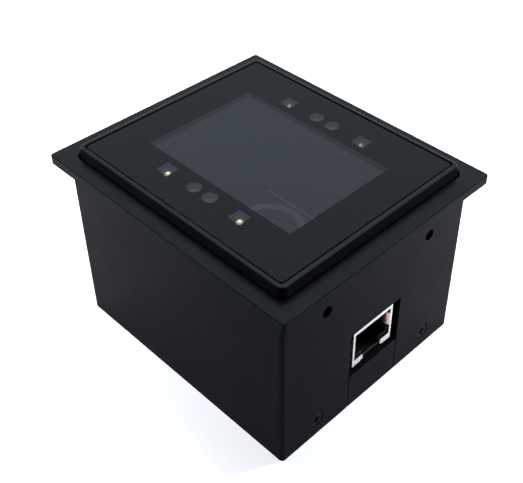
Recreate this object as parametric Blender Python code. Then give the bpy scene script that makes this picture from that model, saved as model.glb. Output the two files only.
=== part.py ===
"""Fixed mount code scanner: a flanged box body that reads codes through a glass plate on its top.

Metres, +Z up. The origin is the middle of the underside. The network socket is in the -Y wall.
The pieces are built from the outside in: housing, bezel and glass, bottom cover, lamp board,
main board with its socket, and the camera with its focusing lens barrel.
"""

import math

import bmesh
import bpy
from mathutils import Vector

# Clearances shared by all pieces
SEAT = 0.0003
OVERRUN = 0.0005
SINK = 0.0006

# Body: a box with a flange round its top
BODY_X = 0.0618
BODY_Y = 0.0718
BODY_HEIGHT = 0.0476
BODY_CORNER = 0.0010
WALL = 0.0020
INNER_CORNER = 0.0006
FLANGE_OVERHANG_X = 0.00295
FLANGE_OVERHANG_Y = 0.00345
FLANGE_THICKNESS = 0.0024
FLANGE_CORNER = 0.0008

# Bezel: raised frame that sits in the flange and holds the glass
BEZEL_INSET = 0.0013
BEZEL_RISE = 0.0027
BEZEL_SINK = 0.0018
BEZEL_CORNER = 0.0020
BEZEL_RIM_X = 0.00135
BEZEL_RIM_Y = 0.00155
PLATE_THICKNESS = 0.0015
PLATE_OPENING_MARGIN = 0.0004

# Glass plate with its clear spots
GLASS_THICKNESS = 0.0019
GLASS_RECESS = 0.0001
GLASS_GAP = 0.00045
GLASS_CORNER = 0.0008
WINDOW_BORDER_X = 0.0116
WINDOW_BORDER_Y = 0.00915
WINDOW_CORNER = 0.0005
SEAL_THICKNESS = 0.0004
SEAL_INSET = 0.0004
SEAL_WIDTH = 0.0034

# Rows of lamps and small round parts beside the window
ROW_INSET = 0.00795
ROW_MIDDLE_Y = 0.0002
LAMP_SPACING = 0.0242
LAMP_SPOT_X = 0.0036
LAMP_SPOT_Y = 0.00375
ROUND_SPACING = 0.0052
ROUND_SPOT = 0.0037
SPOT_MARGIN = 0.0003
LAMP_X = 0.0028
LAMP_Y = 0.0035
LAMP_HEIGHT = 0.0008
DOME_RADIUS = 0.0015
DOME_FOOT = 0.0003
DOME_BODY_HEIGHT = 0.0007
DOME_BASE_RADIUS = 0.0017

# Bezel posts, and the corner lugs of the housing that carry them
POST_RADIUS = 0.0030
POST_INSET = 0.0037
LUG_DROP = 0.0119
LUG_THICKNESS = 0.0020
LUG_REACH = 0.0072

# Holes for mounting brackets, high on the two short walls
BRACKET_INSET = 0.0135
BRACKET_LEVEL = 0.0393
BRACKET_HOLE_RADIUS = 0.0015
BRACKET_HOLE_DEPTH = 0.0046
BRACKET_BOSS_RADIUS = 0.0035
BRACKET_BOSS_DEPTH = 0.0056

# Socket cut-out in the -Y wall, measured from the socket
CUTOUT_SIDE_MARGIN = 0.00185
CUTOUT_TOP_MARGIN = 0.0011
CUTOUT_BOTTOM_MARGIN = 0.0015

# Bottom cover
COVER_THICKNESS = 0.0020
EAR_INSET = 0.0113
EAR_WIDTH = 0.0080
EAR_THICKNESS = 0.0030
EAR_HEIGHT = 0.0090
COVER_SCREW_LEVEL = 0.0052
STAND_RADIUS = 0.0030
STAND_INSET_X = 0.0041
STAND_INSET_Y = 0.0069

# Boards
BOARD_CLEARANCE = 0.0006
MAIN_BOARD_LEVEL = 0.0105
MAIN_BOARD_THICKNESS = 0.0016
LAMP_BOARD_THICKNESS = 0.0010
LAMP_BOARD_MARGIN = 0.0004
LAMP_BOARD_SCREW_INSET = 0.0037
LAMP_BOARD_SCREW_SPACING = 0.0360
LAMP_BOSS_RADIUS = 0.0016
LAMP_PILOT_RADIUS = 0.00105
LAMP_PILOT_DEPTH = 0.0026
LAMP_SCREW_HEAD_RADIUS = 0.0025
LAMP_SCREW_HEAD_HEIGHT = 0.0012
LAMP_SCREW_RADIUS = 0.00075
LAMP_SCREW_LENGTH = 0.0024

# Self-tapping screws of the posts and stands
SCREW_RADIUS = 0.0011
SCREW_HEAD_RADIUS = 0.0023
SCREW_HEAD_HEIGHT = 0.0016
SCREW_LENGTH = 0.0075
PILOT_DEPTH = 0.0084
DRIVE_WIDTH = 0.0006
DRIVE_REACH = 0.0012
DRIVE_DEPTH = 0.0008

# Flush screws of the bottom cover
FLUSH_HEAD_RADIUS = 0.0021
FLUSH_HEAD_DEPTH = 0.0011
FLUSH_RECESS = 0.0001
FLUSH_LENGTH = 0.0049

# Network socket
JACK_X = 0.0139
JACK_DEPTH = 0.0155
JACK_HEIGHT = 0.0115
JACK_RECESS = 0.0007
SHELL_SHEET = 0.0003
SHELL_TOP_LIP = 0.0011
SHELL_SIDE_LIP = 0.00065
SHELL_FOOT_HEIGHT = 0.0026
SHELL_FOOT_WIDTH = 0.00305
MOUTH_X = 0.0117
MOUTH_LOW = 0.0027
MOUTH_CEILING = 0.0006
MOUTH_DEPTH = 0.0123
LATCH_X = 0.0064
LATCH_DROP = 0.0018
LATCH_DEPTH = 0.0105
POCKET_X = 0.0090
POCKET_RISE = 0.0008
POCKET_FRONT = 0.0036
CONTACT_COUNT = 8
CONTACT_PITCH = 0.00102
CONTACT_WIDTH = 0.0004
CONTACT_THICKNESS = 0.00035
CONTACT_ROOT = 0.0010
CONTACT_RUN = 0.0058
CONTACT_FALL = 0.0025

# Camera
CAMERA_SIDE = 0.0240
CAMERA_HEIGHT = 0.0142
CAMERA_CORNER = 0.0006
RIM_RADIUS = 0.0105
RIM_DEPTH = 0.0028
THREAD_RADIUS = 0.0060
SENSOR_WELL = 0.0150
SENSOR_WELL_HEIGHT = 0.0030
CAMERA_SCREW_OFFSET = 0.0094
CAMERA_SCREW_LENGTH = 0.0060
CAMERA_PILOT_DEPTH = 0.0052
BARREL_LENGTH = 0.0077
BARREL_HEAD_RADIUS = 0.0075
BARREL_HEAD_HEIGHT = 0.0023
BARREL_MOUTH_RADIUS = 0.0064
LENS_RADIUS = 0.0047
LENS_EDGE = 0.0008
LENS_CROWN = 0.0009
LENS_SEAT_DROP = 0.0015
LENS_CONE_DEPTH = 0.0018
BARREL_BORE_RADIUS = 0.0034
NOTCH_COUNT = 4
NOTCH_WIDTH = 0.0012
NOTCH_DEPTH = 0.0008
SENSOR_X = 0.0080
SENSOR_Y = 0.0064
SENSOR_HEIGHT = 0.0011

# Light shroud between the lamp board and the camera
SHROUD_WALL = 0.0010
SHROUD_THROAT = 0.0226
SHROUD_LIP = 0.0010
SHROUD_COLLAR_DROP = 0.0026
SHROUD_FLANGE_WIDTH = 0.0036
SHROUD_FLANGE_THICKNESS = 0.0008
SHROUD_TOP_MARGIN = 0.0002
SHROUD_CORNER = 0.0006

# Small parts of the main board
CHIP_GAP = 0.0010
DECODER_SIDE = 0.0090
DECODER_HEIGHT = 0.0012
DECODER_FROM_STAND = 0.0108
MEMORY_X = 0.0080
MEMORY_Y = 0.0100
MEMORY_HEIGHT = 0.0010
MEMORY_FROM_STAND = 0.0125
INTERFACE_X = 0.0050
INTERFACE_Y = 0.0060
INTERFACE_HEIGHT = 0.0010
INTERFACE_FROM_STAND = 0.0105
INDUCTOR_SIDE = 0.0060
INDUCTOR_HEIGHT = 0.0030
INDUCTOR_CORNER = 0.0012
INDUCTOR_Y = 0.0022
CRYSTAL_X = 0.0050
CRYSTAL_Y = 0.0032
CRYSTAL_HEIGHT = 0.0010
CRYSTAL_CORNER = 0.0008
CRYSTAL_PLACE_Y = -0.0066
CHIP_CORNER = 0.0003
BEEPER_RADIUS = 0.0046
BEEPER_HEIGHT = 0.0040
BEEPER_HOLE_RADIUS = 0.0010
BEEPER_HOLE_DEPTH = 0.0012
BEEPER_FROM_STAND = 0.0092

# Ribbon cable and its connectors
CONNECTOR_X = 0.0026
CONNECTOR_Y = 0.0120
CONNECTOR_HEIGHT = 0.0025
CONNECTOR_INSET = 0.0034
CONNECTOR_SLOT = 0.0009
CONNECTOR_SLOT_DEPTH = 0.0018
RIBBON_WIDTH = 0.0100
RIBBON_THICKNESS = 0.0003
RIBBON_BOW = 0.0018
RIBBON_STEPS = 24
RIBBON_STRAIGHT_SHARE = 0.15

# Smoothness of round shapes
CORNER_STEPS = 5
ROUND_SEGMENTS = 32
SMALL_SEGMENTS = 20
DOME_STEPS = 4
SHARP_ANGLE = math.radians(30)

# Levels and half sizes worked out from the sizes above
FLANGE_TOP = BODY_HEIGHT + FLANGE_THICKNESS
TOP = FLANGE_TOP + BEZEL_RISE
BEZEL_FOOT = FLANGE_TOP - BEZEL_SINK
LEDGE = BEZEL_FOOT - SEAT
PLATE_TOP = BEZEL_FOOT + PLATE_THICKNESS
SEAL_LOW = PLATE_TOP + SEAT
GLASS_TOP = TOP - GLASS_RECESS
GLASS_LOW = GLASS_TOP - GLASS_THICKNESS
INNER_X = BODY_X / 2 - WALL
INNER_Y = BODY_Y / 2 - WALL
BEZEL_HALF_X = BODY_X / 2 - BEZEL_INSET
BEZEL_HALF_Y = BODY_Y / 2 - BEZEL_INSET
RECESS_HALF_X = BEZEL_HALF_X - BEZEL_RIM_X
RECESS_HALF_Y = BEZEL_HALF_Y - BEZEL_RIM_Y
GLASS_HALF_X = RECESS_HALF_X - GLASS_GAP
GLASS_HALF_Y = RECESS_HALF_Y - GLASS_GAP
WINDOW_HALF_X = GLASS_HALF_X - WINDOW_BORDER_X
WINDOW_HALF_Y = GLASS_HALF_Y - WINDOW_BORDER_Y
ROW_X = GLASS_HALF_X - ROW_INSET
LAMP_BOARD_TOP = BEZEL_FOOT - SEAT
LAMP_BOARD_LOW = LAMP_BOARD_TOP - LAMP_BOARD_THICKNESS
BOARD_HALF_X = INNER_X - BOARD_CLEARANCE
BOARD_HALF_Y = INNER_Y - BOARD_CLEARANCE
POST_X = INNER_X - POST_INSET
POST_Y = INNER_Y - POST_INSET
LUG_TOP = LEDGE - LUG_DROP
STAND_X = INNER_X - STAND_INSET_X
STAND_Y = INNER_Y - STAND_INSET_Y
MAIN_BOARD_TOP = MAIN_BOARD_LEVEL + MAIN_BOARD_THICKNESS
PART_LEVEL = MAIN_BOARD_TOP + SEAT
JACK_FRONT = -BODY_Y / 2 + JACK_RECESS
JACK_SKIN = SHELL_SHEET + SEAT
MOUTH_HEIGHT = JACK_HEIGHT - JACK_SKIN - MOUTH_CEILING - POCKET_RISE - MOUTH_LOW
CUTOUT_X = JACK_X + 2 * CUTOUT_SIDE_MARGIN
CUTOUT_LOW = PART_LEVEL - CUTOUT_BOTTOM_MARGIN
CUTOUT_HIGH = PART_LEVEL + JACK_HEIGHT + CUTOUT_TOP_MARGIN
CAMERA_TOP = PART_LEVEL + CAMERA_HEIGHT
EAR_X = BODY_X / 2 - EAR_INSET
BRACKET_X = BODY_X / 2 - BRACKET_INSET
LAMP_SCREW_X = INNER_X - LAMP_BOARD_SCREW_INSET
LAMP_SCREW_Y = LAMP_BOARD_SCREW_SPACING / 2
CONNECTOR_PLACE_X = BOARD_HALF_X - CONNECTOR_INSET
SIDES = (-1, 1)


def clear_scene():
    """Removes every object, so that only the scanner is left."""
    for old in list(bpy.data.objects):
        bpy.data.objects.remove(old, do_unlink=True)


def finish(name, colour, roughness, metallic=0.0):
    """A Principled material of one colour."""
    material = bpy.data.materials.new(name)
    material.use_nodes = True
    shader = material.node_tree.nodes["Principled BSDF"]
    shader.inputs["Base Color"].default_value = (*colour, 1.0)
    shader.inputs["Roughness"].default_value = roughness
    shader.inputs["Metallic"].default_value = metallic
    return material


def make_finishes():
    """All materials of the scanner, by name."""
    return {
        "body": finish("body_plastic", (0.016, 0.017, 0.019), 0.48),
        "bezel": finish("bezel_plastic", (0.012, 0.013, 0.015), 0.35),
        "glass": finish("printed_glass", (0.020, 0.024, 0.027), 0.08),
        "seal": finish("seal_foam", (0.010, 0.010, 0.010), 0.90),
        "board": finish("board_green", (0.020, 0.090, 0.045), 0.45),
        "chip": finish("chip_black", (0.022, 0.022, 0.024), 0.50),
        "lamp": finish("lamp_white", (0.900, 0.850, 0.600), 0.40),
        "lens": finish("clear_lens", (0.100, 0.110, 0.140), 0.05),
        "steel": finish("screw_steel", (0.120, 0.120, 0.125), 0.40, 1.0),
        "shell": finish("socket_metal", (0.720, 0.720, 0.700), 0.25, 1.0),
        "gold": finish("contact_gold", (0.830, 0.620, 0.250), 0.25, 1.0),
        "black": finish("matte_black", (0.010, 0.010, 0.011), 0.75),
        "ribbon": finish("ribbon_white", (0.780, 0.780, 0.740), 0.50),
        "cream": finish("connector_cream", (0.780, 0.740, 0.620), 0.50),
    }


def new_object(name, grid, place=(0, 0, 0)):
    """Turns a bmesh into an object at a place, with its faces pointing out and round sides smooth."""
    bmesh.ops.recalc_face_normals(grid, faces=grid.faces)
    mesh = bpy.data.meshes.new(name)
    grid.to_mesh(mesh)
    grid.free()
    made = bpy.data.objects.new(name, mesh)
    made.location = place
    bpy.context.scene.collection.objects.link(made)
    bpy.context.view_layer.update()
    return made


def rounded_loop(half_x, half_y, radius, level):
    """A rectangle with round corners, as points at one level."""
    points = []
    for quarter, (turn_x, turn_y) in enumerate(((1, 1), (-1, 1), (-1, -1), (1, -1))):
        middle = Vector((turn_x * (half_x - radius), turn_y * (half_y - radius), level))
        for step in range(CORNER_STEPS + 1):
            angle = math.radians(90) * (quarter + step / CORNER_STEPS)
            points.append(middle + radius * Vector((math.cos(angle), math.sin(angle), 0)))
    return points


def circle_loop(radius, level, segments):
    """A circle about the Z axis, as points at one level, with no point on the X or Y axis."""
    angles = [math.tau * (step + 1 / 2) / segments for step in range(segments)]
    return [Vector((radius * math.cos(angle), radius * math.sin(angle), level)) for angle in angles]


def add_bands(grid, loops, closed):
    """Joins each loop to the next one with faces, and the last to the first when closed."""
    rows = [[grid.verts.new(point) for point in loop] for loop in loops]
    pairs = list(zip(rows, rows[1:]))
    if closed:
        pairs.append((rows[-1], rows[0]))
    for low, high in pairs:
        for step in range(len(low)):
            after = (step + 1) % len(low)
            grid.faces.new((low[step], low[after], high[after], high[step]))
    return rows


def ring_solid(name, loops, place=(0, 0, 0)):
    """A frame or a tube: the loops go once round the cross-section of its wall."""
    grid = bmesh.new()
    add_bands(grid, loops, closed=True)
    return new_object(name, grid, place)


def stacked_solid(name, loops, place=(0, 0, 0)):
    """A solid whose sides pass through the loops, closed by its first and last loop."""
    grid = bmesh.new()
    rows = add_bands(grid, loops, closed=False)
    grid.faces.new(rows[0])
    grid.faces.new(rows[-1])
    return new_object(name, grid, place)


def outline_solid(name, outline, low, high, place=(0, 0, 0)):
    """An outline in X and Y raised from one level to another."""
    loops = [[Vector((x, y, level)) for x, y in outline] for level in (low, high)]
    return stacked_solid(name, loops, place)


def block(name, low, high, place=(0, 0, 0)):
    """A box from its lowest to its highest corner."""
    outline = ((low[0], low[1]), (high[0], low[1]), (high[0], high[1]), (low[0], high[1]))
    return outline_solid(name, outline, low[2], high[2], place)


def rounded_block(name, size, corner, place):
    """A box with rounded upright edges, standing on the middle of its underside."""
    loops = [rounded_loop(size[0] / 2, size[1] / 2, corner, level) for level in (0, size[2])]
    return stacked_solid(name, loops, place)


def turned_solid(name, profile, segments, place=(0, 0, 0)):
    """A solid turned about Z from pairs of radius and level, from one end to the other."""
    loops = [circle_loop(radius, level, segments) for radius, level in profile]
    return stacked_solid(name, loops, place)


def rod(name, radius, low, high, place, segments=SMALL_SEGMENTS):
    """A round rod along Z."""
    return turned_solid(name, ((radius, low), (radius, high)), segments, place)


def turn_to_wall(made, side):
    """Turns a piece made along Z so that its top faces out of the wall on that side of Y."""
    made.rotation_euler = (-side * math.radians(90), 0, 0)
    bpy.context.view_layer.update()
    return made


def combine(body, tool, operation):
    """Adds a tool to a body or takes it away from the body, and removes the tool."""
    modifier = body.modifiers.new(operation.lower(), "BOOLEAN")
    modifier.operation = operation
    modifier.solver = "EXACT"
    modifier.object = tool
    tool.hide_render = True
    tool.display_type = "WIRE"
    graph = bpy.context.evaluated_depsgraph_get()
    carved = bpy.data.meshes.new_from_object(body.evaluated_get(graph))
    body.modifiers.clear()
    body.data = carved
    bpy.data.objects.remove(tool, do_unlink=True)


def cut(body, tool):
    """Takes a tool's shape out of a body."""
    combine(body, tool, "DIFFERENCE")


def fuse(body, tool):
    """Makes a tool's shape part of a body."""
    combine(body, tool, "UNION")


def dress(made, material, smooth=False):
    """Gives a piece its material, and shades round sides smooth."""
    made.data.materials.clear()
    made.data.materials.append(material)
    if smooth:
        made.data.shade_smooth()
        made.data.set_sharp_from_angle(angle=SHARP_ANGLE)


def corners(half_x, half_y):
    """The four places that mirror one another in X and Y."""
    return [(x * half_x, y * half_y) for y in SIDES for x in SIDES]


def cross_tool(level):
    """The cutter of a cross drive, from below a level to past it."""
    arm = DRIVE_WIDTH / 2
    reach = DRIVE_REACH
    outline = (
        (arm, arm), (arm, reach), (-arm, reach), (-arm, arm), (-reach, arm), (-reach, -arm),
        (-arm, -arm), (-arm, -reach), (arm, -reach), (arm, -arm), (reach, -arm), (reach, arm),
    )
    return outline_solid("drive", outline, level - DRIVE_DEPTH, level + OVERRUN)


def pan_screw(name, place, flip, length, radius=SCREW_RADIUS, head=(SCREW_HEAD_RADIUS, SCREW_HEAD_HEIGHT)):
    """A screw whose head stands on place; its shank runs down, or up when flipped."""
    head_radius, head_height = head
    shoulder = head_height / 2
    profile = (
        (radius, -length), (radius, 0), (head_radius, 0),
        (head_radius, shoulder), (head_radius - shoulder, head_height),
    )
    made = turned_solid(name, profile, SMALL_SEGMENTS)
    cut(made, cross_tool(head_height))
    if flip:
        made.rotation_euler = (math.radians(180), 0, 0)
    made.location = place
    return made


def make_housing(finishes):
    """The four walls and the flange, with the ledge that carries the bezel."""
    flange_x = BODY_X / 2 + FLANGE_OVERHANG_X
    flange_y = BODY_Y / 2 + FLANGE_OVERHANG_Y
    open_x = BEZEL_HALF_X + SEAT
    open_y = BEZEL_HALF_Y + SEAT
    housing = ring_solid("main_housing", (
        rounded_loop(BODY_X / 2, BODY_Y / 2, BODY_CORNER, 0),
        rounded_loop(BODY_X / 2, BODY_Y / 2, BODY_CORNER, BODY_HEIGHT),
        rounded_loop(flange_x, flange_y, FLANGE_CORNER, BODY_HEIGHT),
        rounded_loop(flange_x, flange_y, FLANGE_CORNER, FLANGE_TOP),
        rounded_loop(open_x, open_y, BEZEL_CORNER + SEAT, FLANGE_TOP),
        rounded_loop(open_x, open_y, BEZEL_CORNER + SEAT, LEDGE),
        rounded_loop(INNER_X, INNER_Y, INNER_CORNER, LEDGE),
        rounded_loop(INNER_X, INNER_Y, INNER_CORNER, 0),
    ))
    for x, y in corners(1, 1):
        wall_x = x * (INNER_X + SINK)
        wall_y = y * (INNER_Y + SINK)
        near_x = x * (INNER_X - LUG_REACH)
        near_y = y * (INNER_Y - LUG_REACH)
        low = (min(wall_x, near_x), min(wall_y, near_y), LUG_TOP - LUG_THICKNESS)
        high = (max(wall_x, near_x), max(wall_y, near_y), LUG_TOP)
        fuse(housing, block("lug", low, high))
        bore_place = (x * POST_X, y * POST_Y, LUG_TOP)
        cut(housing, rod("bore", SCREW_RADIUS + SEAT, -LUG_THICKNESS - OVERRUN, OVERRUN, bore_place))
    for side in SIDES:
        wall_y = side * BODY_Y / 2
        for x in SIDES:
            boss_place = (x * BRACKET_X, wall_y, BRACKET_LEVEL)
            boss = rod("boss", BRACKET_BOSS_RADIUS, -BRACKET_BOSS_DEPTH, -SINK, boss_place)
            fuse(housing, turn_to_wall(boss, side))
            hole = rod("hole", BRACKET_HOLE_RADIUS, -BRACKET_HOLE_DEPTH, OVERRUN, boss_place)
            cut(housing, turn_to_wall(hole, side))
            screw_place = (x * EAR_X, wall_y, COVER_SCREW_LEVEL)
            sink_radius = FLUSH_HEAD_RADIUS + SEAT
            hole_radius = SCREW_RADIUS + SEAT
            sink_profile = (
                (hole_radius, -WALL - OVERRUN), (hole_radius, -FLUSH_HEAD_DEPTH - SEAT),
                (sink_radius, -FLUSH_RECESS), (sink_radius, OVERRUN),
            )
            cut(housing, turn_to_wall(turned_solid("sink", sink_profile, SMALL_SEGMENTS, screw_place), side))
    slot_low = (-CUTOUT_X / 2, -BODY_Y / 2 - OVERRUN, -OVERRUN)
    slot_high = (CUTOUT_X / 2, -INNER_Y + OVERRUN, CUTOUT_HIGH)
    cut(housing, block("slot", slot_low, slot_high))
    dress(housing, finishes["body"], smooth=True)


def spot_places():
    """Places of the lamps and of the round parts, row by row."""
    lamps = []
    rounds = []
    for x in SIDES:
        for y in SIDES:
            lamps.append((x * ROW_X, ROW_MIDDLE_Y + y * LAMP_SPACING / 2))
            rounds.append((x * ROW_X, ROW_MIDDLE_Y + y * ROUND_SPACING / 2))
    return lamps, rounds


def make_bezel(finishes):
    """The raised frame with the plate under the glass, its corner posts and its small bosses."""
    open_x = WINDOW_HALF_X + PLATE_OPENING_MARGIN
    open_y = WINDOW_HALF_Y + PLATE_OPENING_MARGIN
    bezel = ring_solid("front_bezel", (
        rounded_loop(BEZEL_HALF_X, BEZEL_HALF_Y, BEZEL_CORNER, BEZEL_FOOT),
        rounded_loop(BEZEL_HALF_X, BEZEL_HALF_Y, BEZEL_CORNER, TOP),
        rounded_loop(RECESS_HALF_X, RECESS_HALF_Y, GLASS_CORNER, TOP),
        rounded_loop(RECESS_HALF_X, RECESS_HALF_Y, GLASS_CORNER, PLATE_TOP),
        rounded_loop(open_x, open_y, WINDOW_CORNER, PLATE_TOP),
        rounded_loop(open_x, open_y, WINDOW_CORNER, BEZEL_FOOT),
    ))
    lamps, rounds = spot_places()
    for x, y in lamps:
        half_x = LAMP_SPOT_X / 2 + SPOT_MARGIN
        half_y = LAMP_SPOT_Y / 2 + SPOT_MARGIN
        low = (x - half_x, y - half_y, BEZEL_FOOT - OVERRUN)
        high = (x + half_x, y + half_y, PLATE_TOP + OVERRUN)
        cut(bezel, block("lamp_hole", low, high))
    for x, y in rounds:
        radius = ROUND_SPOT / 2 + SPOT_MARGIN
        cut(bezel, rod("round_hole", radius, -OVERRUN, PLATE_THICKNESS + OVERRUN, (x, y, BEZEL_FOOT)))
    post_length = BEZEL_FOOT - LUG_TOP - SEAT
    for x, y in corners(POST_X, POST_Y):
        fuse(bezel, rod("post", POST_RADIUS, -post_length, SINK, (x, y, BEZEL_FOOT)))
        cut(bezel, rod("pilot", SCREW_RADIUS + SEAT, -OVERRUN, PILOT_DEPTH, (x, y, LUG_TOP + SEAT)))
    boss_length = LAMP_BOARD_THICKNESS + SEAT + SEAT
    for x, y in corners(LAMP_SCREW_X, LAMP_SCREW_Y):
        fuse(bezel, rod("boss", LAMP_BOSS_RADIUS, -boss_length, SINK, (x, y, BEZEL_FOOT)))
        pilot_place = (x, y, BEZEL_FOOT - boss_length)
        cut(bezel, rod("pilot", LAMP_PILOT_RADIUS, -OVERRUN, LAMP_PILOT_DEPTH, pilot_place))
    dress(bezel, finishes["bezel"], smooth=True)
    screw_level = LUG_TOP - LUG_THICKNESS - SEAT
    for number, (x, y) in enumerate(corners(POST_X, POST_Y), start=1):
        made = pan_screw(f"bezel_screw_{number}", (x, y, screw_level), True, SCREW_LENGTH + LUG_THICKNESS)
        dress(made, finishes["steel"], smooth=True)


def make_glass(finishes):
    """The glass plate and the adhesive seal that it lies on."""
    glass_size = (2 * GLASS_HALF_X, 2 * GLASS_HALF_Y, GLASS_THICKNESS)
    dress(rounded_block("front_glass", glass_size, GLASS_CORNER, (0, 0, GLASS_LOW)), finishes["glass"])
    outer_x = GLASS_HALF_X - SEAL_INSET
    outer_y = GLASS_HALF_Y - SEAL_INSET
    inner_x = outer_x - SEAL_WIDTH
    inner_y = outer_y - SEAL_WIDTH
    seal = ring_solid("glass_seal", (
        rounded_loop(outer_x, outer_y, GLASS_CORNER, 0),
        rounded_loop(outer_x, outer_y, GLASS_CORNER, SEAL_THICKNESS),
        rounded_loop(inner_x, inner_y, GLASS_CORNER, SEAL_THICKNESS),
        rounded_loop(inner_x, inner_y, GLASS_CORNER, 0),
    ), (0, 0, SEAL_LOW))
    dress(seal, finishes["seal"])


def make_bottom_cover(finishes):
    """The plate inside the walls, with its socket tongue, ears and stands, and its flush screws."""
    plate_x = INNER_X - SEAT
    plate_y = INNER_Y - SEAT
    plate_loops = [rounded_loop(plate_x, plate_y, INNER_CORNER, level) for level in (0, COVER_THICKNESS)]
    cover = stacked_solid("bottom_cover", plate_loops)
    tongue_half = CUTOUT_X / 2 - SEAT
    tongue_low = (-tongue_half, -BODY_Y / 2, 0)
    tongue_high = (tongue_half, -INNER_Y, CUTOUT_LOW)
    fuse(cover, block("tongue", tongue_low, tongue_high))
    bridge_low = (-tongue_half, -INNER_Y - SINK, 0)
    bridge_high = (tongue_half, -plate_y + SINK, COVER_THICKNESS)
    fuse(cover, block("bridge", bridge_low, bridge_high))
    for side in SIDES:
        for x in SIDES:
            ear_x = x * EAR_X
            outer_y = side * plate_y
            inner_y = side * (plate_y - EAR_THICKNESS)
            low = (ear_x - EAR_WIDTH / 2, min(outer_y, inner_y), COVER_THICKNESS - SINK)
            high = (ear_x + EAR_WIDTH / 2, max(outer_y, inner_y), EAR_HEIGHT)
            fuse(cover, block("ear", low, high))
            reach = EAR_THICKNESS + SEAT + WALL + OVERRUN
            hole_place = (ear_x, side * BODY_Y / 2, COVER_SCREW_LEVEL)
            cut(cover, turn_to_wall(rod("hole", SCREW_RADIUS + SEAT, -reach, 0, hole_place), side))
    stand_top = MAIN_BOARD_LEVEL - SEAT
    for x, y in corners(STAND_X, STAND_Y):
        fuse(cover, rod("stand", STAND_RADIUS, COVER_THICKNESS - SINK, stand_top, (x, y, 0)))
        cut(cover, rod("pilot", SCREW_RADIUS + SEAT, stand_top - PILOT_DEPTH, stand_top + OVERRUN, (x, y, 0)))
    dress(cover, finishes["body"], smooth=True)
    number = 0
    for side in SIDES:
        for x in SIDES:
            number += 1
            profile = (
                (SCREW_RADIUS, -FLUSH_LENGTH), (SCREW_RADIUS, -FLUSH_HEAD_DEPTH),
                (FLUSH_HEAD_RADIUS, -FLUSH_RECESS - FLUSH_RECESS), (FLUSH_HEAD_RADIUS, -FLUSH_RECESS),
            )
            screw = turned_solid(f"cover_screw_{number}", profile, SMALL_SEGMENTS)
            cut(screw, cross_tool(-FLUSH_RECESS))
            screw.location = (x * EAR_X, side * BODY_Y / 2, COVER_SCREW_LEVEL)
            dress(turn_to_wall(screw, side), finishes["steel"], smooth=True)


def make_lamp_board(finishes):
    """The board round the reading window, with lamps, presence sensor pair, aiming lamps and screws."""
    notch_x = POST_X - POST_RADIUS - BOARD_CLEARANCE
    notch_y = POST_Y - POST_RADIUS - BOARD_CLEARANCE
    outline = (
        (BOARD_HALF_X, -notch_y), (BOARD_HALF_X, notch_y), (notch_x, notch_y), (notch_x, BOARD_HALF_Y),
        (-notch_x, BOARD_HALF_Y), (-notch_x, notch_y), (-BOARD_HALF_X, notch_y), (-BOARD_HALF_X, -notch_y),
        (-notch_x, -notch_y), (-notch_x, -BOARD_HALF_Y), (notch_x, -BOARD_HALF_Y), (notch_x, -notch_y),
    )
    board = outline_solid("illumination_board", outline, LAMP_BOARD_LOW, LAMP_BOARD_TOP)
    open_x = WINDOW_HALF_X + PLATE_OPENING_MARGIN + LAMP_BOARD_MARGIN
    open_y = WINDOW_HALF_Y + PLATE_OPENING_MARGIN + LAMP_BOARD_MARGIN
    low = (-open_x, -open_y, LAMP_BOARD_LOW - OVERRUN)
    high = (open_x, open_y, LAMP_BOARD_TOP + OVERRUN)
    cut(board, block("window", low, high))
    for x, y in corners(LAMP_SCREW_X, LAMP_SCREW_Y):
        hole_radius = LAMP_BOSS_RADIUS + SEAT
        cut(board, rod("hole", hole_radius, LAMP_BOARD_LOW - OVERRUN, LAMP_BOARD_TOP + OVERRUN, (x, y, 0)))
    dress(board, finishes["board"])
    head = (LAMP_SCREW_HEAD_RADIUS, LAMP_SCREW_HEAD_HEIGHT)
    for number, (x, y) in enumerate(corners(LAMP_SCREW_X, LAMP_SCREW_Y), start=1):
        place = (x, y, LAMP_BOARD_LOW - SEAT - SEAT)
        name = f"illumination_board_screw_{number}"
        made = pan_screw(name, place, True, LAMP_SCREW_LENGTH, LAMP_SCREW_RADIUS, head)
        dress(made, finishes["steel"], smooth=True)
    lamps, rounds = spot_places()
    lamp_level = LAMP_BOARD_TOP + SEAT
    for number, (x, y) in enumerate(lamps, start=1):
        lamp_size = (LAMP_X, LAMP_Y, LAMP_HEIGHT)
        lamp = rounded_block(f"white_lamp_{number}", lamp_size, CHIP_CORNER, (x, y, lamp_level))
        dress(lamp, finishes["lamp"])
    names = ("presence_emitter", "presence_receiver", "aiming_lamp_1", "aiming_lamp_2")
    for name, (x, y) in zip(names, rounds):
        profile = [
            (DOME_BASE_RADIUS, 0), (DOME_BASE_RADIUS, DOME_FOOT),
            (DOME_RADIUS, DOME_FOOT), (DOME_RADIUS, DOME_BODY_HEIGHT),
        ]
        for step in range(1, DOME_STEPS):
            angle = math.radians(90) * step / DOME_STEPS
            rise = (PLATE_THICKNESS - DOME_BODY_HEIGHT) * math.sin(angle)
            profile.append((DOME_RADIUS * math.cos(angle), DOME_BODY_HEIGHT + rise))
        dress(turned_solid(name, profile, SMALL_SEGMENTS, (x, y, lamp_level)), finishes["lens"], smooth=True)


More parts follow.
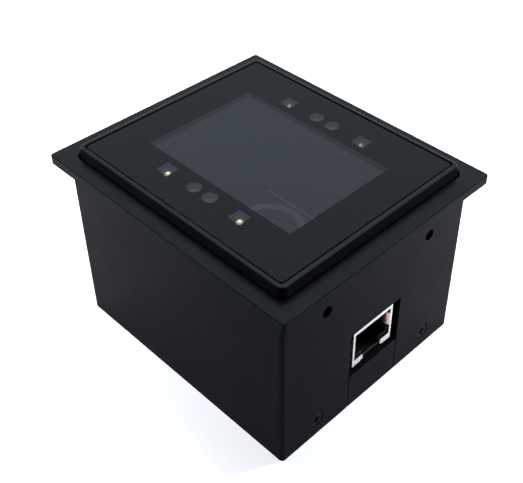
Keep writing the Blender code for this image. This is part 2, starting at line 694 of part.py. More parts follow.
def make_shroud(finishes):
    """The black funnel that keeps lamp light away from the lens."""
    throat = SHROUD_THROAT / 2
    collar = CAMERA_SIDE / 2 + SEAT
    top = LAMP_BOARD_LOW - SEAT
    flange_low = top - SHROUD_FLANGE_THICKNESS
    seat_level = CAMERA_TOP + SEAT
    lip_level = seat_level + SHROUD_LIP
    collar_low = CAMERA_TOP - SHROUD_COLLAR_DROP
    mouth_x = WINDOW_HALF_X + SHROUD_TOP_MARGIN
    mouth_y = WINDOW_HALF_Y + SHROUD_TOP_MARGIN
    neck_x = mouth_x + SHROUD_WALL
    neck_y = mouth_y + SHROUD_WALL
    wide_x = mouth_x + SHROUD_FLANGE_WIDTH
    wide_y = mouth_y + SHROUD_FLANGE_WIDTH
    outer = collar + SHROUD_WALL
    shroud = ring_solid("light_shroud", (
        rounded_loop(outer, outer, SHROUD_CORNER + SHROUD_WALL, collar_low),
        rounded_loop(outer, outer, SHROUD_CORNER + SHROUD_WALL, lip_level),
        rounded_loop(neck_x, neck_y, SHROUD_CORNER + SHROUD_WALL, flange_low),
        rounded_loop(wide_x, wide_y, SHROUD_CORNER + SHROUD_WALL, flange_low),
        rounded_loop(wide_x, wide_y, SHROUD_CORNER + SHROUD_WALL, top),
        rounded_loop(mouth_x, mouth_y, SHROUD_CORNER, top),
        rounded_loop(throat, throat, SHROUD_CORNER, lip_level),
        rounded_loop(throat, throat, SHROUD_CORNER, seat_level),
        rounded_loop(collar, collar, SHROUD_CORNER, seat_level),
        rounded_loop(collar, collar, SHROUD_CORNER, collar_low),
    ))
    dress(shroud, finishes["black"])


def make_camera(finishes):
    """The camera block on the main board, its sensor and screws, and the barrel that turns to focus."""
    size = (CAMERA_SIDE, CAMERA_SIDE, CAMERA_HEIGHT)
    camera = rounded_block("camera_block", size, CAMERA_CORNER, (0, 0, PART_LEVEL))
    rim_floor = CAMERA_TOP - RIM_DEPTH
    cut(camera, rod("rim", RIM_RADIUS, rim_floor, CAMERA_TOP + OVERRUN, (0, 0, 0), ROUND_SEGMENTS))
    hole_radius = THREAD_RADIUS + SEAT
    cut(camera, rod("thread", hole_radius, PART_LEVEL - OVERRUN, CAMERA_TOP, (0, 0, 0), ROUND_SEGMENTS))
    well = SENSOR_WELL / 2
    well_top = PART_LEVEL + SENSOR_WELL_HEIGHT
    cut(camera, block("well", (-well, -well, PART_LEVEL - OVERRUN), (well, well, well_top)))
    screw_places = [(side * CAMERA_SCREW_OFFSET, side * CAMERA_SCREW_OFFSET) for side in SIDES]
    for number, (x, y) in enumerate(screw_places, start=1):
        cut(camera, rod("pilot", SCREW_RADIUS + SEAT, -OVERRUN, CAMERA_PILOT_DEPTH, (x, y, PART_LEVEL)))
        place = (x, y, MAIN_BOARD_LEVEL - SEAT)
        screw = pan_screw(f"camera_screw_{number}", place, True, CAMERA_SCREW_LENGTH)
        dress(screw, finishes["steel"], smooth=True)
    dress(camera, finishes["black"], smooth=True)
    sensor_size = (SENSOR_X, SENSOR_Y, SENSOR_HEIGHT)
    dress(rounded_block("image_sensor", sensor_size, CHIP_CORNER, (0, 0, PART_LEVEL)), finishes["chip"])

    head_low = rim_floor + SEAT
    seat = BARREL_LENGTH - LENS_SEAT_DROP
    cone_foot = BARREL_LENGTH + BARREL_HEAD_HEIGHT - LENS_CONE_DEPTH
    head_top = BARREL_LENGTH + BARREL_HEAD_HEIGHT
    barrel_profile = (
        (THREAD_RADIUS, 0), (THREAD_RADIUS, BARREL_LENGTH), (BARREL_HEAD_RADIUS, BARREL_LENGTH),
        (BARREL_HEAD_RADIUS, head_top), (BARREL_MOUTH_RADIUS, head_top), (LENS_RADIUS + SEAT, cone_foot),
        (LENS_RADIUS + SEAT, seat), (BARREL_BORE_RADIUS, seat), (BARREL_BORE_RADIUS, 0),
    )
    barrel_place = (0, 0, head_low - BARREL_LENGTH)
    barrel_loops = [circle_loop(radius, level, ROUND_SEGMENTS) for radius, level in barrel_profile]
    barrel = ring_solid("lens_barrel", barrel_loops)
    for step in range(NOTCH_COUNT):
        low = (BARREL_MOUTH_RADIUS - OVERRUN, -NOTCH_WIDTH / 2, head_top - NOTCH_DEPTH)
        high = (BARREL_HEAD_RADIUS + OVERRUN, NOTCH_WIDTH / 2, head_top + OVERRUN)
        notch = block("notch", low, high)
        notch.rotation_euler = (0, 0, math.tau * (step + 1 / 2) / NOTCH_COUNT)
        bpy.context.view_layer.update()
        cut(barrel, notch)
    barrel.location = barrel_place
    dress(barrel, finishes["black"], smooth=True)
    lens_profile = [(LENS_RADIUS, 0), (LENS_RADIUS, LENS_EDGE)]
    for step in range(1, DOME_STEPS):
        angle = math.radians(90) * step / DOME_STEPS
        lens_profile.append((LENS_RADIUS * math.cos(angle), LENS_EDGE + LENS_CROWN * math.sin(angle)))
    lens_place = (0, 0, head_low - LENS_SEAT_DROP + SEAT)
    lens = turned_solid("lens_glass", lens_profile, ROUND_SEGMENTS, lens_place)
    dress(lens, finishes["lens"], smooth=True)


def make_main_board(finishes):
    """The main board on the stands of the bottom cover, with its screws, chips and beeper."""
    low = (-BOARD_HALF_X, -BOARD_HALF_Y, MAIN_BOARD_LEVEL)
    high = (BOARD_HALF_X, BOARD_HALF_Y, MAIN_BOARD_TOP)
    board = block("main_board", low, high)
    hole_low = MAIN_BOARD_LEVEL - OVERRUN
    hole_high = MAIN_BOARD_TOP + OVERRUN
    holes = corners(STAND_X, STAND_Y)
    holes += [(side * CAMERA_SCREW_OFFSET, side * CAMERA_SCREW_OFFSET) for side in SIDES]
    for x, y in holes:
        cut(board, rod("hole", SCREW_RADIUS + SEAT, hole_low, hole_high, (x, y, 0)))
    dress(board, finishes["board"])
    for number, (x, y) in enumerate(corners(STAND_X, STAND_Y), start=1):
        length = SCREW_LENGTH + MAIN_BOARD_THICKNESS
        screw = pan_screw(f"main_board_screw_{number}", (x, y, PART_LEVEL), False, length)
        dress(screw, finishes["steel"], smooth=True)
    near = CAMERA_SIDE / 2 + CHIP_GAP
    decoder_y = STAND_Y - DECODER_FROM_STAND
    memory_y = MEMORY_FROM_STAND - STAND_Y
    interface_y = INTERFACE_FROM_STAND - STAND_Y
    chips = (
        ("decoder_chip", (DECODER_SIDE, DECODER_SIDE, DECODER_HEIGHT), 1, decoder_y, CHIP_CORNER),
        ("memory_chip", (MEMORY_X, MEMORY_Y, MEMORY_HEIGHT), 1, memory_y, CHIP_CORNER),
        ("interface_chip", (INTERFACE_X, INTERFACE_Y, INTERFACE_HEIGHT), -1, interface_y, CHIP_CORNER),
        ("power_inductor", (INDUCTOR_SIDE, INDUCTOR_SIDE, INDUCTOR_HEIGHT), -1, INDUCTOR_Y, INDUCTOR_CORNER),
        ("crystal", (CRYSTAL_X, CRYSTAL_Y, CRYSTAL_HEIGHT), -1, CRYSTAL_PLACE_Y, CRYSTAL_CORNER),
    )
    for name, size, side, y, corner in chips:
        place = (side * (near + size[0] / 2), y, PART_LEVEL)
        made = rounded_block(name, size, corner, place)
        dress(made, finishes["shell" if name == "crystal" else "chip"], smooth=True)
    beeper_place = (-near - BEEPER_RADIUS, STAND_Y - BEEPER_FROM_STAND, PART_LEVEL)
    beeper = rod("beeper", BEEPER_RADIUS, 0, BEEPER_HEIGHT, beeper_place, ROUND_SEGMENTS)
    hole_depth = BEEPER_HEIGHT - BEEPER_HOLE_DEPTH
    cut(beeper, rod("hole", BEEPER_HOLE_RADIUS, hole_depth, BEEPER_HEIGHT + OVERRUN, beeper_place))
    dress(beeper, finishes["black"], smooth=True)


def make_ribbon(finishes):
    """The flat cable between the boards and the connector at each end."""
    half_x = CONNECTOR_X / 2
    half_y = CONNECTOR_Y / 2
    slot_y = RIBBON_WIDTH / 2 + SEAT
    levels = {
        "ribbon_connector_lower": (PART_LEVEL, PART_LEVEL + CONNECTOR_HEIGHT, 1),
        "ribbon_connector_upper": (LAMP_BOARD_LOW - SEAT - CONNECTOR_HEIGHT, LAMP_BOARD_LOW - SEAT, -1),
    }
    for name, (low, high, opening) in levels.items():
        place = (CONNECTOR_PLACE_X, 0, 0)
        made = block(name, (-half_x, -half_y, low), (half_x, half_y, high), place)
        if opening > 0:
            slot_low, slot_high = high - CONNECTOR_SLOT_DEPTH, high + OVERRUN
        else:
            slot_low, slot_high = low - OVERRUN, low + CONNECTOR_SLOT_DEPTH
        slot_half = CONNECTOR_SLOT / 2
        cut(made, block("slot", (-slot_half, -slot_y, slot_low), (slot_half, slot_y, slot_high), place))
        dress(made, finishes["cream"])
    low = PART_LEVEL + CONNECTOR_HEIGHT - CONNECTOR_SLOT_DEPTH + SEAT
    high = LAMP_BOARD_LOW - SEAT - CONNECTOR_HEIGHT + CONNECTOR_SLOT_DEPTH - SEAT
    loops = []
    for step in range(RIBBON_STEPS + 1):
        share = step / RIBBON_STEPS
        inner = (share - RIBBON_STRAIGHT_SHARE) / (1 - 2 * RIBBON_STRAIGHT_SHARE)
        bent = min(max(inner, 0), 1)
        x = -RIBBON_BOW * (1 - math.cos(math.tau * bent)) / 2
        level = low + (high - low) * share
        near = x - RIBBON_THICKNESS / 2
        far = x + RIBBON_THICKNESS / 2
        side = RIBBON_WIDTH / 2
        loops.append([Vector(corner) for corner in (
            (near, -side, level), (far, -side, level), (far, side, level), (near, side, level))])
    ribbon = stacked_solid("ribbon_cable", loops, (CONNECTOR_PLACE_X, 0, 0))
    dress(ribbon, finishes["ribbon"])


def make_socket(finishes):
    """The network socket: folded metal shell, plastic body with its mouth, and spring contacts."""
    place = (0, JACK_FRONT, PART_LEVEL)
    half = JACK_X / 2
    shell = block("network_socket_shell", (-half, 0, 0), (half, JACK_DEPTH, JACK_HEIGHT), place)
    hollow_low = (-half + SHELL_SHEET, SHELL_SHEET, -OVERRUN)
    hollow_high = (half - SHELL_SHEET, JACK_DEPTH - SHELL_SHEET, JACK_HEIGHT - SHELL_SHEET)
    cut(shell, block("hollow", hollow_low, hollow_high, place))
    front_low = (-half + SHELL_SIDE_LIP, -OVERRUN, SHELL_FOOT_HEIGHT)
    front_high = (half - SHELL_SIDE_LIP, SHELL_SHEET + OVERRUN, JACK_HEIGHT - SHELL_TOP_LIP)
    cut(shell, block("front", front_low, front_high, place))
    gap_half = half - SHELL_FOOT_WIDTH
    gap_high = (gap_half, SHELL_SHEET + OVERRUN, SHELL_FOOT_HEIGHT + OVERRUN)
    cut(shell, block("gap", (-gap_half, -OVERRUN, -OVERRUN), gap_high, place))
    dress(shell, finishes["shell"])

    skin = JACK_SKIN
    body_half = half - skin
    body_high = (body_half, JACK_DEPTH - skin, JACK_HEIGHT - skin)
    body = block("network_socket_body", (-body_half, skin, 0), body_high, place)
    mouth_back = skin + MOUTH_DEPTH
    mouth_top = MOUTH_LOW + MOUTH_HEIGHT
    cut(body, block("mouth", (-MOUTH_X / 2, 0, MOUTH_LOW), (MOUTH_X / 2, mouth_back, mouth_top), place))
    latch_low = (-LATCH_X / 2, 0, MOUTH_LOW - LATCH_DROP)
    latch_high = (LATCH_X / 2, skin + LATCH_DEPTH, MOUTH_LOW + OVERRUN)
    cut(body, block("latch", latch_low, latch_high, place))
    pocket_low = (-POCKET_X / 2, skin + POCKET_FRONT, mouth_top - OVERRUN)
    pocket_high = (POCKET_X / 2, mouth_back, mouth_top + POCKET_RISE)
    cut(body, block("pocket", pocket_low, pocket_high, place))
    dress(body, finishes["black"])

    root_front = skin + POCKET_FRONT + SEAT
    root_back = root_front + CONTACT_ROOT
    root_top = mouth_top + POCKET_RISE - SEAT
    line = ((root_front, root_top), (root_back, root_top), (root_back + CONTACT_RUN, root_top - CONTACT_FALL))
    outline = list(line) + [(y, z - CONTACT_THICKNESS) for y, z in reversed(line)]
    for number in range(1, CONTACT_COUNT + 1):
        x = (number - (CONTACT_COUNT + 1) / 2) * CONTACT_PITCH
        loops = [[Vector((side * CONTACT_WIDTH / 2, y, z)) for y, z in outline] for side in SIDES]
        contact_place = (x, place[1], place[2])
        dress(stacked_solid(f"network_socket_contact_{number}", loops, contact_place), finishes["gold"])


def main():
    """Builds the whole scanner."""
    clear_scene()
    finishes = make_finishes()
    make_housing(finishes)
    make_bezel(finishes)
    make_glass(finishes)
    make_bottom_cover(finishes)
    make_lamp_board(finishes)
    make_shroud(finishes)
    make_camera(finishes)
    make_main_board(finishes)
    make_ribbon(finishes)
    make_socket(finishes)


main()
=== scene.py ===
"""Looks of a fixed mount code scanner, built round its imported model.

Sizes are in metres, in the model's frame: +Z up, the origin in the middle of the underside, the
network socket in the -Y wall. Only the places of small parts and the line of the socket's springs
are in millimetres. Each finish is a frozen dataclass that paints a material, and each sub-assembly
is a class with its sizes as fields and methods that make and dress its pieces.
"""

from __future__ import annotations

import logging
import math
from collections.abc import Callable, Iterable, Sequence
from dataclasses import dataclass
from enum import Enum
from typing import ClassVar

import bmesh
import bpy
from mathutils import Matrix, Vector


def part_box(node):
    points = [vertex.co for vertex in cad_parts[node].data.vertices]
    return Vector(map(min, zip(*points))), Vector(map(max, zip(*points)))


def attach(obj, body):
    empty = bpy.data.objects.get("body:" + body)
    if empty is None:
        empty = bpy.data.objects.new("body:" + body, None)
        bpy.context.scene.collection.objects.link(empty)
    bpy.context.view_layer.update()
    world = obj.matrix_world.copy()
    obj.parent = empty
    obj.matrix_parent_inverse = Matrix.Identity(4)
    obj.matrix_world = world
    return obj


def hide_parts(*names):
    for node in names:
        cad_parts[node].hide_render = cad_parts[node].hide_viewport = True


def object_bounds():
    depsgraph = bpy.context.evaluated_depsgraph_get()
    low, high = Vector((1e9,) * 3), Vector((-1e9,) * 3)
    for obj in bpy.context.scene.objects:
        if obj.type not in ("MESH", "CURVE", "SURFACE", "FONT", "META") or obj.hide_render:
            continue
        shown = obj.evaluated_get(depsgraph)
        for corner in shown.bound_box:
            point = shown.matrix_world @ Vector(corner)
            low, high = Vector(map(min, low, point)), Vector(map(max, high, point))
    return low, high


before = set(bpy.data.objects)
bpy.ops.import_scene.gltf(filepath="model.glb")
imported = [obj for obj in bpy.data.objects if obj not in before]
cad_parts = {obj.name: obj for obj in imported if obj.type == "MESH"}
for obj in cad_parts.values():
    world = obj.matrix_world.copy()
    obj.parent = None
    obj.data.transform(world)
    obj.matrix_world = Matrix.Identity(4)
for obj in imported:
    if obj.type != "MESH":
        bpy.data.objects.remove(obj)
CAD_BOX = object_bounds()

LOG = logging.getLogger("scanner")
MERGE_DISTANCE = 1e-6
FLAT_ANGLE = math.radians(0.5)
SHARP_ANGLE = math.radians(35)
CHAMFER_ANGLE = math.radians(42)
QUARTER_TURN = math.radians(90)
MILLIMETRES = 1000
OVERRUN = 0.0005
ON_OUTLINE = OVERRUN / 5
DOME_SHARE = 0.96
FACE_WEIGHT = 50
SIDES = (-1, 1)
EDGE_MARK = "edge"
TURN_MARK = "turn"

Pair = tuple[float, float]
Triple = tuple[float, float, float]
Colour = Triple


class Body(Enum):
    """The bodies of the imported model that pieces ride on."""

    SCANNER = "scanner"
    LENS = "lens"


class Join(Enum):
    """How a tool changes a piece."""

    CUT = "DIFFERENCE"
    FUSE = "UNION"


class Axis(Enum):
    """Which way the streaks of a rolled or drawn surface run."""

    X = (0.08, 1.0, 1.0)
    Y = (1.0, 0.08, 1.0)
    Z = (1.0, 1.0, 0.08)


def math_method(operation: str, swapped: bool = False) -> Callable[..., Wire]:
    """A method that adds a Math node.

    Args:
        operation: what the node works out.
        swapped: puts the other value first, as a reflected operator needs.

    Returns:
        The method, for a wire.
    """

    def method(wire: Wire, *others: Wire | float) -> Wire:
        """Works out the operation on the wire and the others."""
        return wire.paint.maths(operation, *((*others, wire) if swapped else (wire, *others)))

    return method


class Wire:
    """A shader output that takes part in sums, each of which adds its Math node."""

    __add__, __radd__ = math_method("ADD"), math_method("ADD", swapped=True)
    __sub__, __rsub__ = math_method("SUBTRACT"), math_method("SUBTRACT", swapped=True)
    __mul__, __rmul__ = math_method("MULTIPLY"), math_method("MULTIPLY", swapped=True)
    __truediv__, __rtruediv__ = math_method("DIVIDE"), math_method("DIVIDE", swapped=True)
    __lt__, __gt__ = math_method("LESS_THAN"), math_method("GREATER_THAN")
    __abs__ = math_method("ABSOLUTE")
    most = math_method("MAXIMUM")
    part = math_method("FRACT")

    def __init__(self, paint: Paint, socket: bpy.types.NodeSocket) -> None:
        """Keeps the tree and the output to wrap."""
        self.paint = paint
        self.socket = socket

    def ramp(self, low: float, high: float) -> Wire:
        """A soft step from 0 at low to 1 at high."""
        values = {"Value": self, "From Min": low, "From Max": high}
        return self.paint.wire(self.paint.node("ShaderNodeMapRange", {"interpolation_type": "SMOOTHSTEP"}, values))


class Paint:
    """The node tree of one material."""

    def __init__(self, name: str) -> None:
        """Starts an empty material.

        Args:
            name: the material's name.
        """
        self.material = bpy.data.materials.new(name)
        self.material.use_nodes = True
        self.nodes = self.material.node_tree.nodes
        self.links = self.material.node_tree.links
        self.nodes.clear()
        self.place = self.wire(self.node("ShaderNodeTexCoord"), "Object")

    def node(self, kind: str, settings: dict | None = None, values: dict | None = None) -> bpy.types.Node:
        """Adds a node.

        Args:
            kind: the node's type.
            settings: its own settings, set before its sockets.
            values: a number, a colour or a wire for each named or numbered input.

        Returns:
            The node.
        """
        made = self.nodes.new(kind)
        for name, setting in (settings or {}).items():
            setattr(made, name, setting)
        for name, value in (values or {}).items():
            if isinstance(value, Wire):
                self.links.new(value.socket, made.inputs[name])
            else:
                made.inputs[name].default_value = value
        return made

    def wire(self, node: bpy.types.Node, name: str | int = 0) -> Wire:
        """One output of a node, ready for sums."""
        return Wire(self, node.outputs[name])

    def maths(self, operation: str, *parts: Wire | float) -> Wire:
        """A Math node on wires and numbers."""
        return self.wire(self.node("ShaderNodeMath", {"operation": operation}, dict(enumerate(parts))))

    def stretched(self, stretch: Triple) -> Wire:
        """The piece's own coordinates, drawn out along some axes."""
        return self.wire(self.node("ShaderNodeMapping", None, {"Vector": self.place, "Scale": stretch}))

    def noise(self, cell: float, detail: float = 2.0, stretch: Triple | None = None) -> Wire:
        """Cloudy noise from 0 to 1.

        Args:
            cell: the size of its clouds.
            detail: how many finer layers it has.
            stretch: the scale along each axis.

        Returns:
            The noise.
        """
        place = self.stretched(stretch) if stretch else self.place
        values = {"Vector": place, "Scale": 1 / cell, "Detail": detail}
        return self.wire(self.node("ShaderNodeTexNoise", None, values), "Fac")

    def cells(self, cell: float, feature: str = "F1") -> Wire:
        """The distance to the middle, or to the rim, of scattered cells."""
        values = {"Vector": self.place, "Scale": 1 / cell}
        return self.wire(self.node("ShaderNodeTexVoronoi", {"feature": feature}, values), "Distance")

    def axes(self) -> tuple[Wire, Wire, Wire]:
        """The piece's own X, Y and Z."""
        split = self.node("ShaderNodeSeparateXYZ", None, {"Vector": self.place})
        return self.wire(split, 0), self.wire(split, 1), self.wire(split, 2)

    def upward(self) -> Wire:
        """How far the surface faces up, from -1 to 1."""
        facing = self.wire(self.node("ShaderNodeNewGeometry"), "Normal")
        return self.wire(self.node("ShaderNodeSeparateXYZ", None, {"Vector": facing}), 2)

    def mark(self, name: str) -> Wire:
        """A number that the mesh holds at its corners."""
        return self.wire(self.node("ShaderNodeAttribute", {"attribute_name": name}), "Fac")

    def blend(self, share: Wire | float, first: Colour | Wire, second: Colour | Wire) -> Wire:
        """A colour between two.

        Args:
            share: 0 for the first colour, 1 for the second.
            first: a colour or a wire that holds one.
            second: the other one.

        Returns:
            The blended colour.
        """
        ends = [end if isinstance(end, Wire) else (*end, 1.0) for end in (first, second)]
        values = {0: share, 6: ends[0], 7: ends[1]}
        return self.wire(self.node("ShaderNodeMix", {"data_type": "RGBA"}, values), 2)

    def bump(self, height: Wire, depth: float, strength: float) -> Wire:
        """A normal that leans with a height, where a height of 1 stands for the full depth."""
        values = {"Height": height, "Distance": depth, "Strength": strength}
        return self.wire(self.node("ShaderNodeBump", None, values))

    def surface(self, **values: Wire | float | tuple) -> Wire:
        """A Principled surface; an underscore in a name stands for a space."""
        named = {name.replace("_", " "): value for name, value in values.items()}
        return self.wire(self.node("ShaderNodeBsdfPrincipled", None, named))

    def mix_surfaces(self, share: Wire | float, first: Wire, second: Wire) -> Wire:
        """Two surfaces mixed, the second one at a share of 1."""
        return self.wire(self.node("ShaderNodeMixShader", None, {0: share, 1: first, 2: second}))

    def close(self, surface: Wire) -> None:
        """Sends a surface to the material's output."""
        self.node("ShaderNodeOutputMaterial", None, {"Surface": surface})


@dataclass(frozen=True)
class Finish:
    """A finish that paints its material once and hands the same one out again."""

    name: str
    colour: Colour
    lifts: Pair = (0.8, 1.2)
    made: ClassVar[dict[str, bpy.types.Material]] = {}

    def material(self) -> bpy.types.Material:
        """The finish as a material."""
        if self.name not in self.made:
            paint = Paint(self.name)
            paint.close(self.coat(paint))
            self.made[self.name] = paint.material
        return self.made[self.name]

    def coat(self, paint: Paint) -> Wire:
        """Builds the surface in a tree; each kind of finish has its own way."""
        raise NotImplementedError

    def lifted(self, lift: float) -> Colour:
        """The finish's colour, made lighter or darker."""
        return tuple(channel * lift for channel in self.colour)

    def mottled(self, paint: Paint, share: Wire) -> Wire:
        """The finish's colour between its darker and its lighter lift."""
        return paint.blend(share, *(self.lifted(lift) for lift in self.lifts))


@dataclass(frozen=True)
class MouldedPlastic(Finish):
    """Moulded plastic: eroded tool grain, soft smudges, lighter rubbed edges that are partly wear and partly a painted
    edge highlight, and, if asked, a satin skin on level faces.
    """

    lifts: Pair = (0.80, 1.22)
    roughness: float = 0.45
    gloss: float = 0.3
    grain: float = 0.00016
    pit_cell: float = 2.4
    pit_share: float = 0.5
    grain_share: float = 0.7
    relief: float = 0.000012
    relief_share: float = 0.8
    smudge: float = 0.011
    smudge_tone: float = 0.5
    smudge_share: float = 0.07
    fleck_cell: float = 5
    fleck_tone: float = 0.35
    fleck_share: float = 0.06
    rub: float = 0.12
    wear_and_highlight_cover: Pair = (0.30, 0.62)
    wear_and_highlight_share: float = 0.6
    wear_and_highlight_lift: float = 1.9
    satin: float = 0.0
    satin_from: float = 0.0496
    satin_roughness: float = 0.10
    satin_depth: float = 0.2
    satin_bend: float = 1.5
    satin_slope: Pair = (0.1, 0.9)
    satin_wear: float = 0.3
    satin_least: float = 0.85

    def coat(self, paint: Paint) -> Wire:
        """Builds the surface in a tree.

        Args:
            paint: the tree to build in.

        Returns:
            The surface.
        """
        fine = paint.noise(self.grain, detail=3.0)
        pits = paint.cells(self.grain * self.pit_cell)
        clouds = paint.noise(self.smudge, detail=3.0)
        flecks = paint.noise(self.grain * self.fleck_cell, detail=1.0)
        # The rounds are lightened: partly real wear, partly a painted highlight along the edges.
        wear_and_edge_highlight = paint.mark(EDGE_MARK) * clouds.ramp(*self.wear_and_highlight_cover)
        tone = (clouds - 0.5) * self.smudge_tone + (flecks - 0.5) * self.fleck_tone + 0.5
        colour = paint.blend(wear_and_edge_highlight * self.wear_and_highlight_share, self.mottled(paint, tone), self.lifted(self.wear_and_highlight_lift))
        wander = (clouds - 0.5) * (2 * self.smudge_share) + (flecks - 0.5) * self.fleck_share
        height = fine * self.grain_share + pits * self.pit_share
        values = {
            "Base_Color": colour, "Roughness": wander + self.roughness - wear_and_edge_highlight * self.rub,
            "Specular_IOR_Level": self.gloss, "Normal": paint.bump(height, self.relief, self.relief_share),
        }
        if self.satin:
            *_, level = paint.axes()
            polished = (level > self.satin_from) * paint.upward().ramp(*self.satin_slope)
            values["Base_Color"] = paint.blend(polished * (1 - self.satin_depth), colour, (0.0, 0.0, 0.0))
            values["Coat_Weight"] = polished * (clouds * self.satin_wear + self.satin_least) * self.satin
            values["Coat_Roughness"] = self.satin_roughness
            values["Coat_IOR"] = self.satin_bend
        return paint.surface(**values)


@dataclass(frozen=True)
class ClearGlass(Finish):
    """Glass with faint wipe marks, which lets light through to what lies under it, under a diffuse film on its top
    tinted as painted light seen through the window and lighter over the side spots as painted light of the lamps under
    them.
    """

    painted_window_tint: Colour = (0.0205, 0.0252, 0.0272)
    tint_lifts: Pair = (0.9, 1.1)
    painted_spot_light: Colour = (0.0450, 0.0480, 0.0530)
    painted_spot_from: float = 0.0172
    haze: float = 0.38
    haze_roughness: float = 0.045
    roughness: float = 0.015
    bend: float = 1.5
    wipe: float = 0.006
    wipe_cover: Pair = (0.52, 0.75)
    wipe_share: float = 0.03

    def coat(self, paint: Paint) -> Wire:
        """Builds the surface in a tree.

        Args:
            paint: the tree to build in.

        Returns:
            The surface.
        """
        wipes = paint.noise(self.wipe, detail=4.0, stretch=Axis.X.value)
        smears = wipes.ramp(*self.wipe_cover) * self.wipe_share
        glass = paint.surface(
            Base_Color=(*self.colour, 1.0), Roughness=smears + self.roughness, IOR=self.bend, Transmission_Weight=1.0,
        )
        dark, light = (tuple(channel * lift for channel in self.painted_window_tint) for lift in self.tint_lifts)
        east, *_ = paint.axes()
        # The film's tint is painted light for what shows through the window; over the side spots it is lighter, as
        # painted light of the lamps under them.
        painted_window_light = paint.blend(abs(east) > self.painted_spot_from, paint.blend(wipes, dark, light), self.painted_spot_light)
        painted_light_film = paint.surface(Base_Color=painted_window_light, Roughness=smears + self.haze_roughness)
        open_air = paint.wire(paint.node("ShaderNodeBsdfTransparent"))
        shadow = paint.wire(paint.node("ShaderNodeLightPath"), "Is Shadow Ray")
        front = (paint.upward() > 0.5) * self.haze
        return paint.mix_surfaces(shadow, paint.mix_surfaces(front, glass, painted_light_film), open_air)


@dataclass(frozen=True)
class PrintInk(Finish):
    """Glossy black print round the clear spots, with a faint mottle and pinholes."""

    lifts: Pair = (0.85, 1.15)
    roughness: float = 0.035
    wander: float = 0.03
    cloud: float = 0.0021
    dot: float = 0.0009
    dot_size: Pair = (0.03, 0.08)
    dot_share: float = 0.15

    def coat(self, paint: Paint) -> Wire:
        """Builds the surface in a tree.

        Args:
            paint: the tree to build in.

        Returns:
            The surface.
        """
        clouds = paint.noise(self.cloud, detail=3.0)
        dots = 1 - paint.cells(self.dot).ramp(*self.dot_size)
        colour = self.mottled(paint, clouds * (1 - self.dot_share) + dots * self.dot_share)
        return paint.surface(Base_Color=colour, Roughness=clouds * self.wander + self.roughness)


@dataclass(frozen=True)
class PlatedMetal(Finish):
    """Plated sheet or wire with the streaks of its rolling, fine scratches and dull patches."""

    roughness: float = 0.26
    streaks: Axis = Axis.Y
    streak: float = 0.00009
    streak_share: float = 0.12
    relief: float = 0.000006
    patch: float = 0.0022
    patch_cover: Pair = (0.40, 0.72)
    dull: float = 0.16
    tarnish: float = 0.25
    tarnish_lift: float = 0.62
    wear: float = 0.35
    wear_lift: float = 1.15

    def coat(self, paint: Paint) -> Wire:
        """Builds the surface in a tree.

        Args:
            paint: the tree to build in.

        Returns:
            The surface.
        """
        drawn = paint.noise(self.streak, detail=3.0, stretch=self.streaks.value)
        patches = paint.noise(self.patch, detail=3.0).ramp(*self.patch_cover)
        colour = paint.blend(patches * self.tarnish, self.colour, self.lifted(self.tarnish_lift))
        colour = paint.blend(paint.mark(EDGE_MARK) * self.wear, colour, self.lifted(self.wear_lift))
        rough = patches * self.dull + (drawn - 0.5) * self.streak_share + self.roughness
        return paint.surface(
            Base_Color=colour, Metallic=1.0, Roughness=rough, Normal=paint.bump(drawn, self.relief, strength=0.5)
        )


@dataclass(frozen=True)
class SolderMask(Finish):
    """Board with copper runs under a coloured mask, sides painted near-black as shade, and a fine weave."""

    run: float = 0.0011
    run_half: float = 0.2
    district: float = 0.009
    border: Pair = (0.47, 0.53)
    clearing: float = 0.006
    clearing_from: float = 0.56
    clearing_stretch: Triple = (1.0, 0.6, 1.0)
    weave: float = 0.0005
    painted_side_shade: Colour = (0.010, 0.011, 0.007)
    copper_lift: float = 2.1
    weave_lift: float = 0.7
    roughness: float = 0.28
    relief: float = 0.00003

    def coat(self, paint: Paint) -> Wire:
        """Builds the surface in a tree.

        Args:
            paint: the tree to build in.

        Returns:
            The surface.
        """
        east, north, _ = paint.axes()
        band = paint.noise(self.district, detail=1.0).ramp(*self.border)
        across = abs(((east + north * 0.5) / self.run).part() - 0.5) < self.run_half
        along = abs((north / self.run).part() - 0.5) < self.run_half
        blank = paint.noise(self.clearing, stretch=self.clearing_stretch) > self.clearing_from
        runs = (across * band + along * (1 - band)) * (1 - blank)
        weave = paint.noise(self.weave, detail=2.0)
        colour = paint.blend(runs, self.colour, self.lifted(self.copper_lift))
        colour = paint.blend((weave - 0.5).ramp(0.0, 0.5) * 0.4, colour, self.lifted(self.weave_lift))
        # The sides are painted near-black: painted shade for board edges that sit in the dark inside of the housing.
        side = abs(paint.upward()) < 0.5
        colour = paint.blend(side, colour, self.painted_side_shade)
        return paint.surface(
            Base_Color=colour, Roughness=side * 0.35 + weave * 0.12 + self.roughness,
            Normal=paint.bump(runs * 0.8 + weave * 0.2, self.relief, strength=0.7),
        )


@dataclass(frozen=True)
class FilledResin(Finish):
    """Moulded resin or ceramic of small parts: fine sparkle of its filler and a matte skin."""

    lifts: Pair = (0.88, 1.12)
    roughness: float = 0.5
    wander: float = 0.16
    gloss: float = 0.35
    filler: float = 0.00012
    cloud: float = 0.0021
    sparkle: float = 0.35
    sparkle_cover: Pair = (0.58, 0.80)
    sparkle_lift: float = 1.8
    wear: float = 0.15
    relief: float = 0.000008

    def coat(self, paint: Paint) -> Wire:
        """Builds the surface in a tree.

        Args:
            paint: the tree to build in.

        Returns:
            The surface.
        """
        filler = paint.noise(self.filler, detail=3.0)
        clouds = paint.noise(self.cloud, detail=2.0)
        bright = filler.ramp(*self.sparkle_cover) * self.sparkle + paint.mark(EDGE_MARK) * self.wear
        colour = paint.blend(bright, self.mottled(paint, clouds), self.lifted(self.sparkle_lift))
        return paint.surface(
            Base_Color=colour, Roughness=(clouds - 0.5) * self.wander + self.roughness,
            Specular_IOR_Level=self.gloss, Normal=paint.bump(filler, self.relief, strength=0.7),
        )


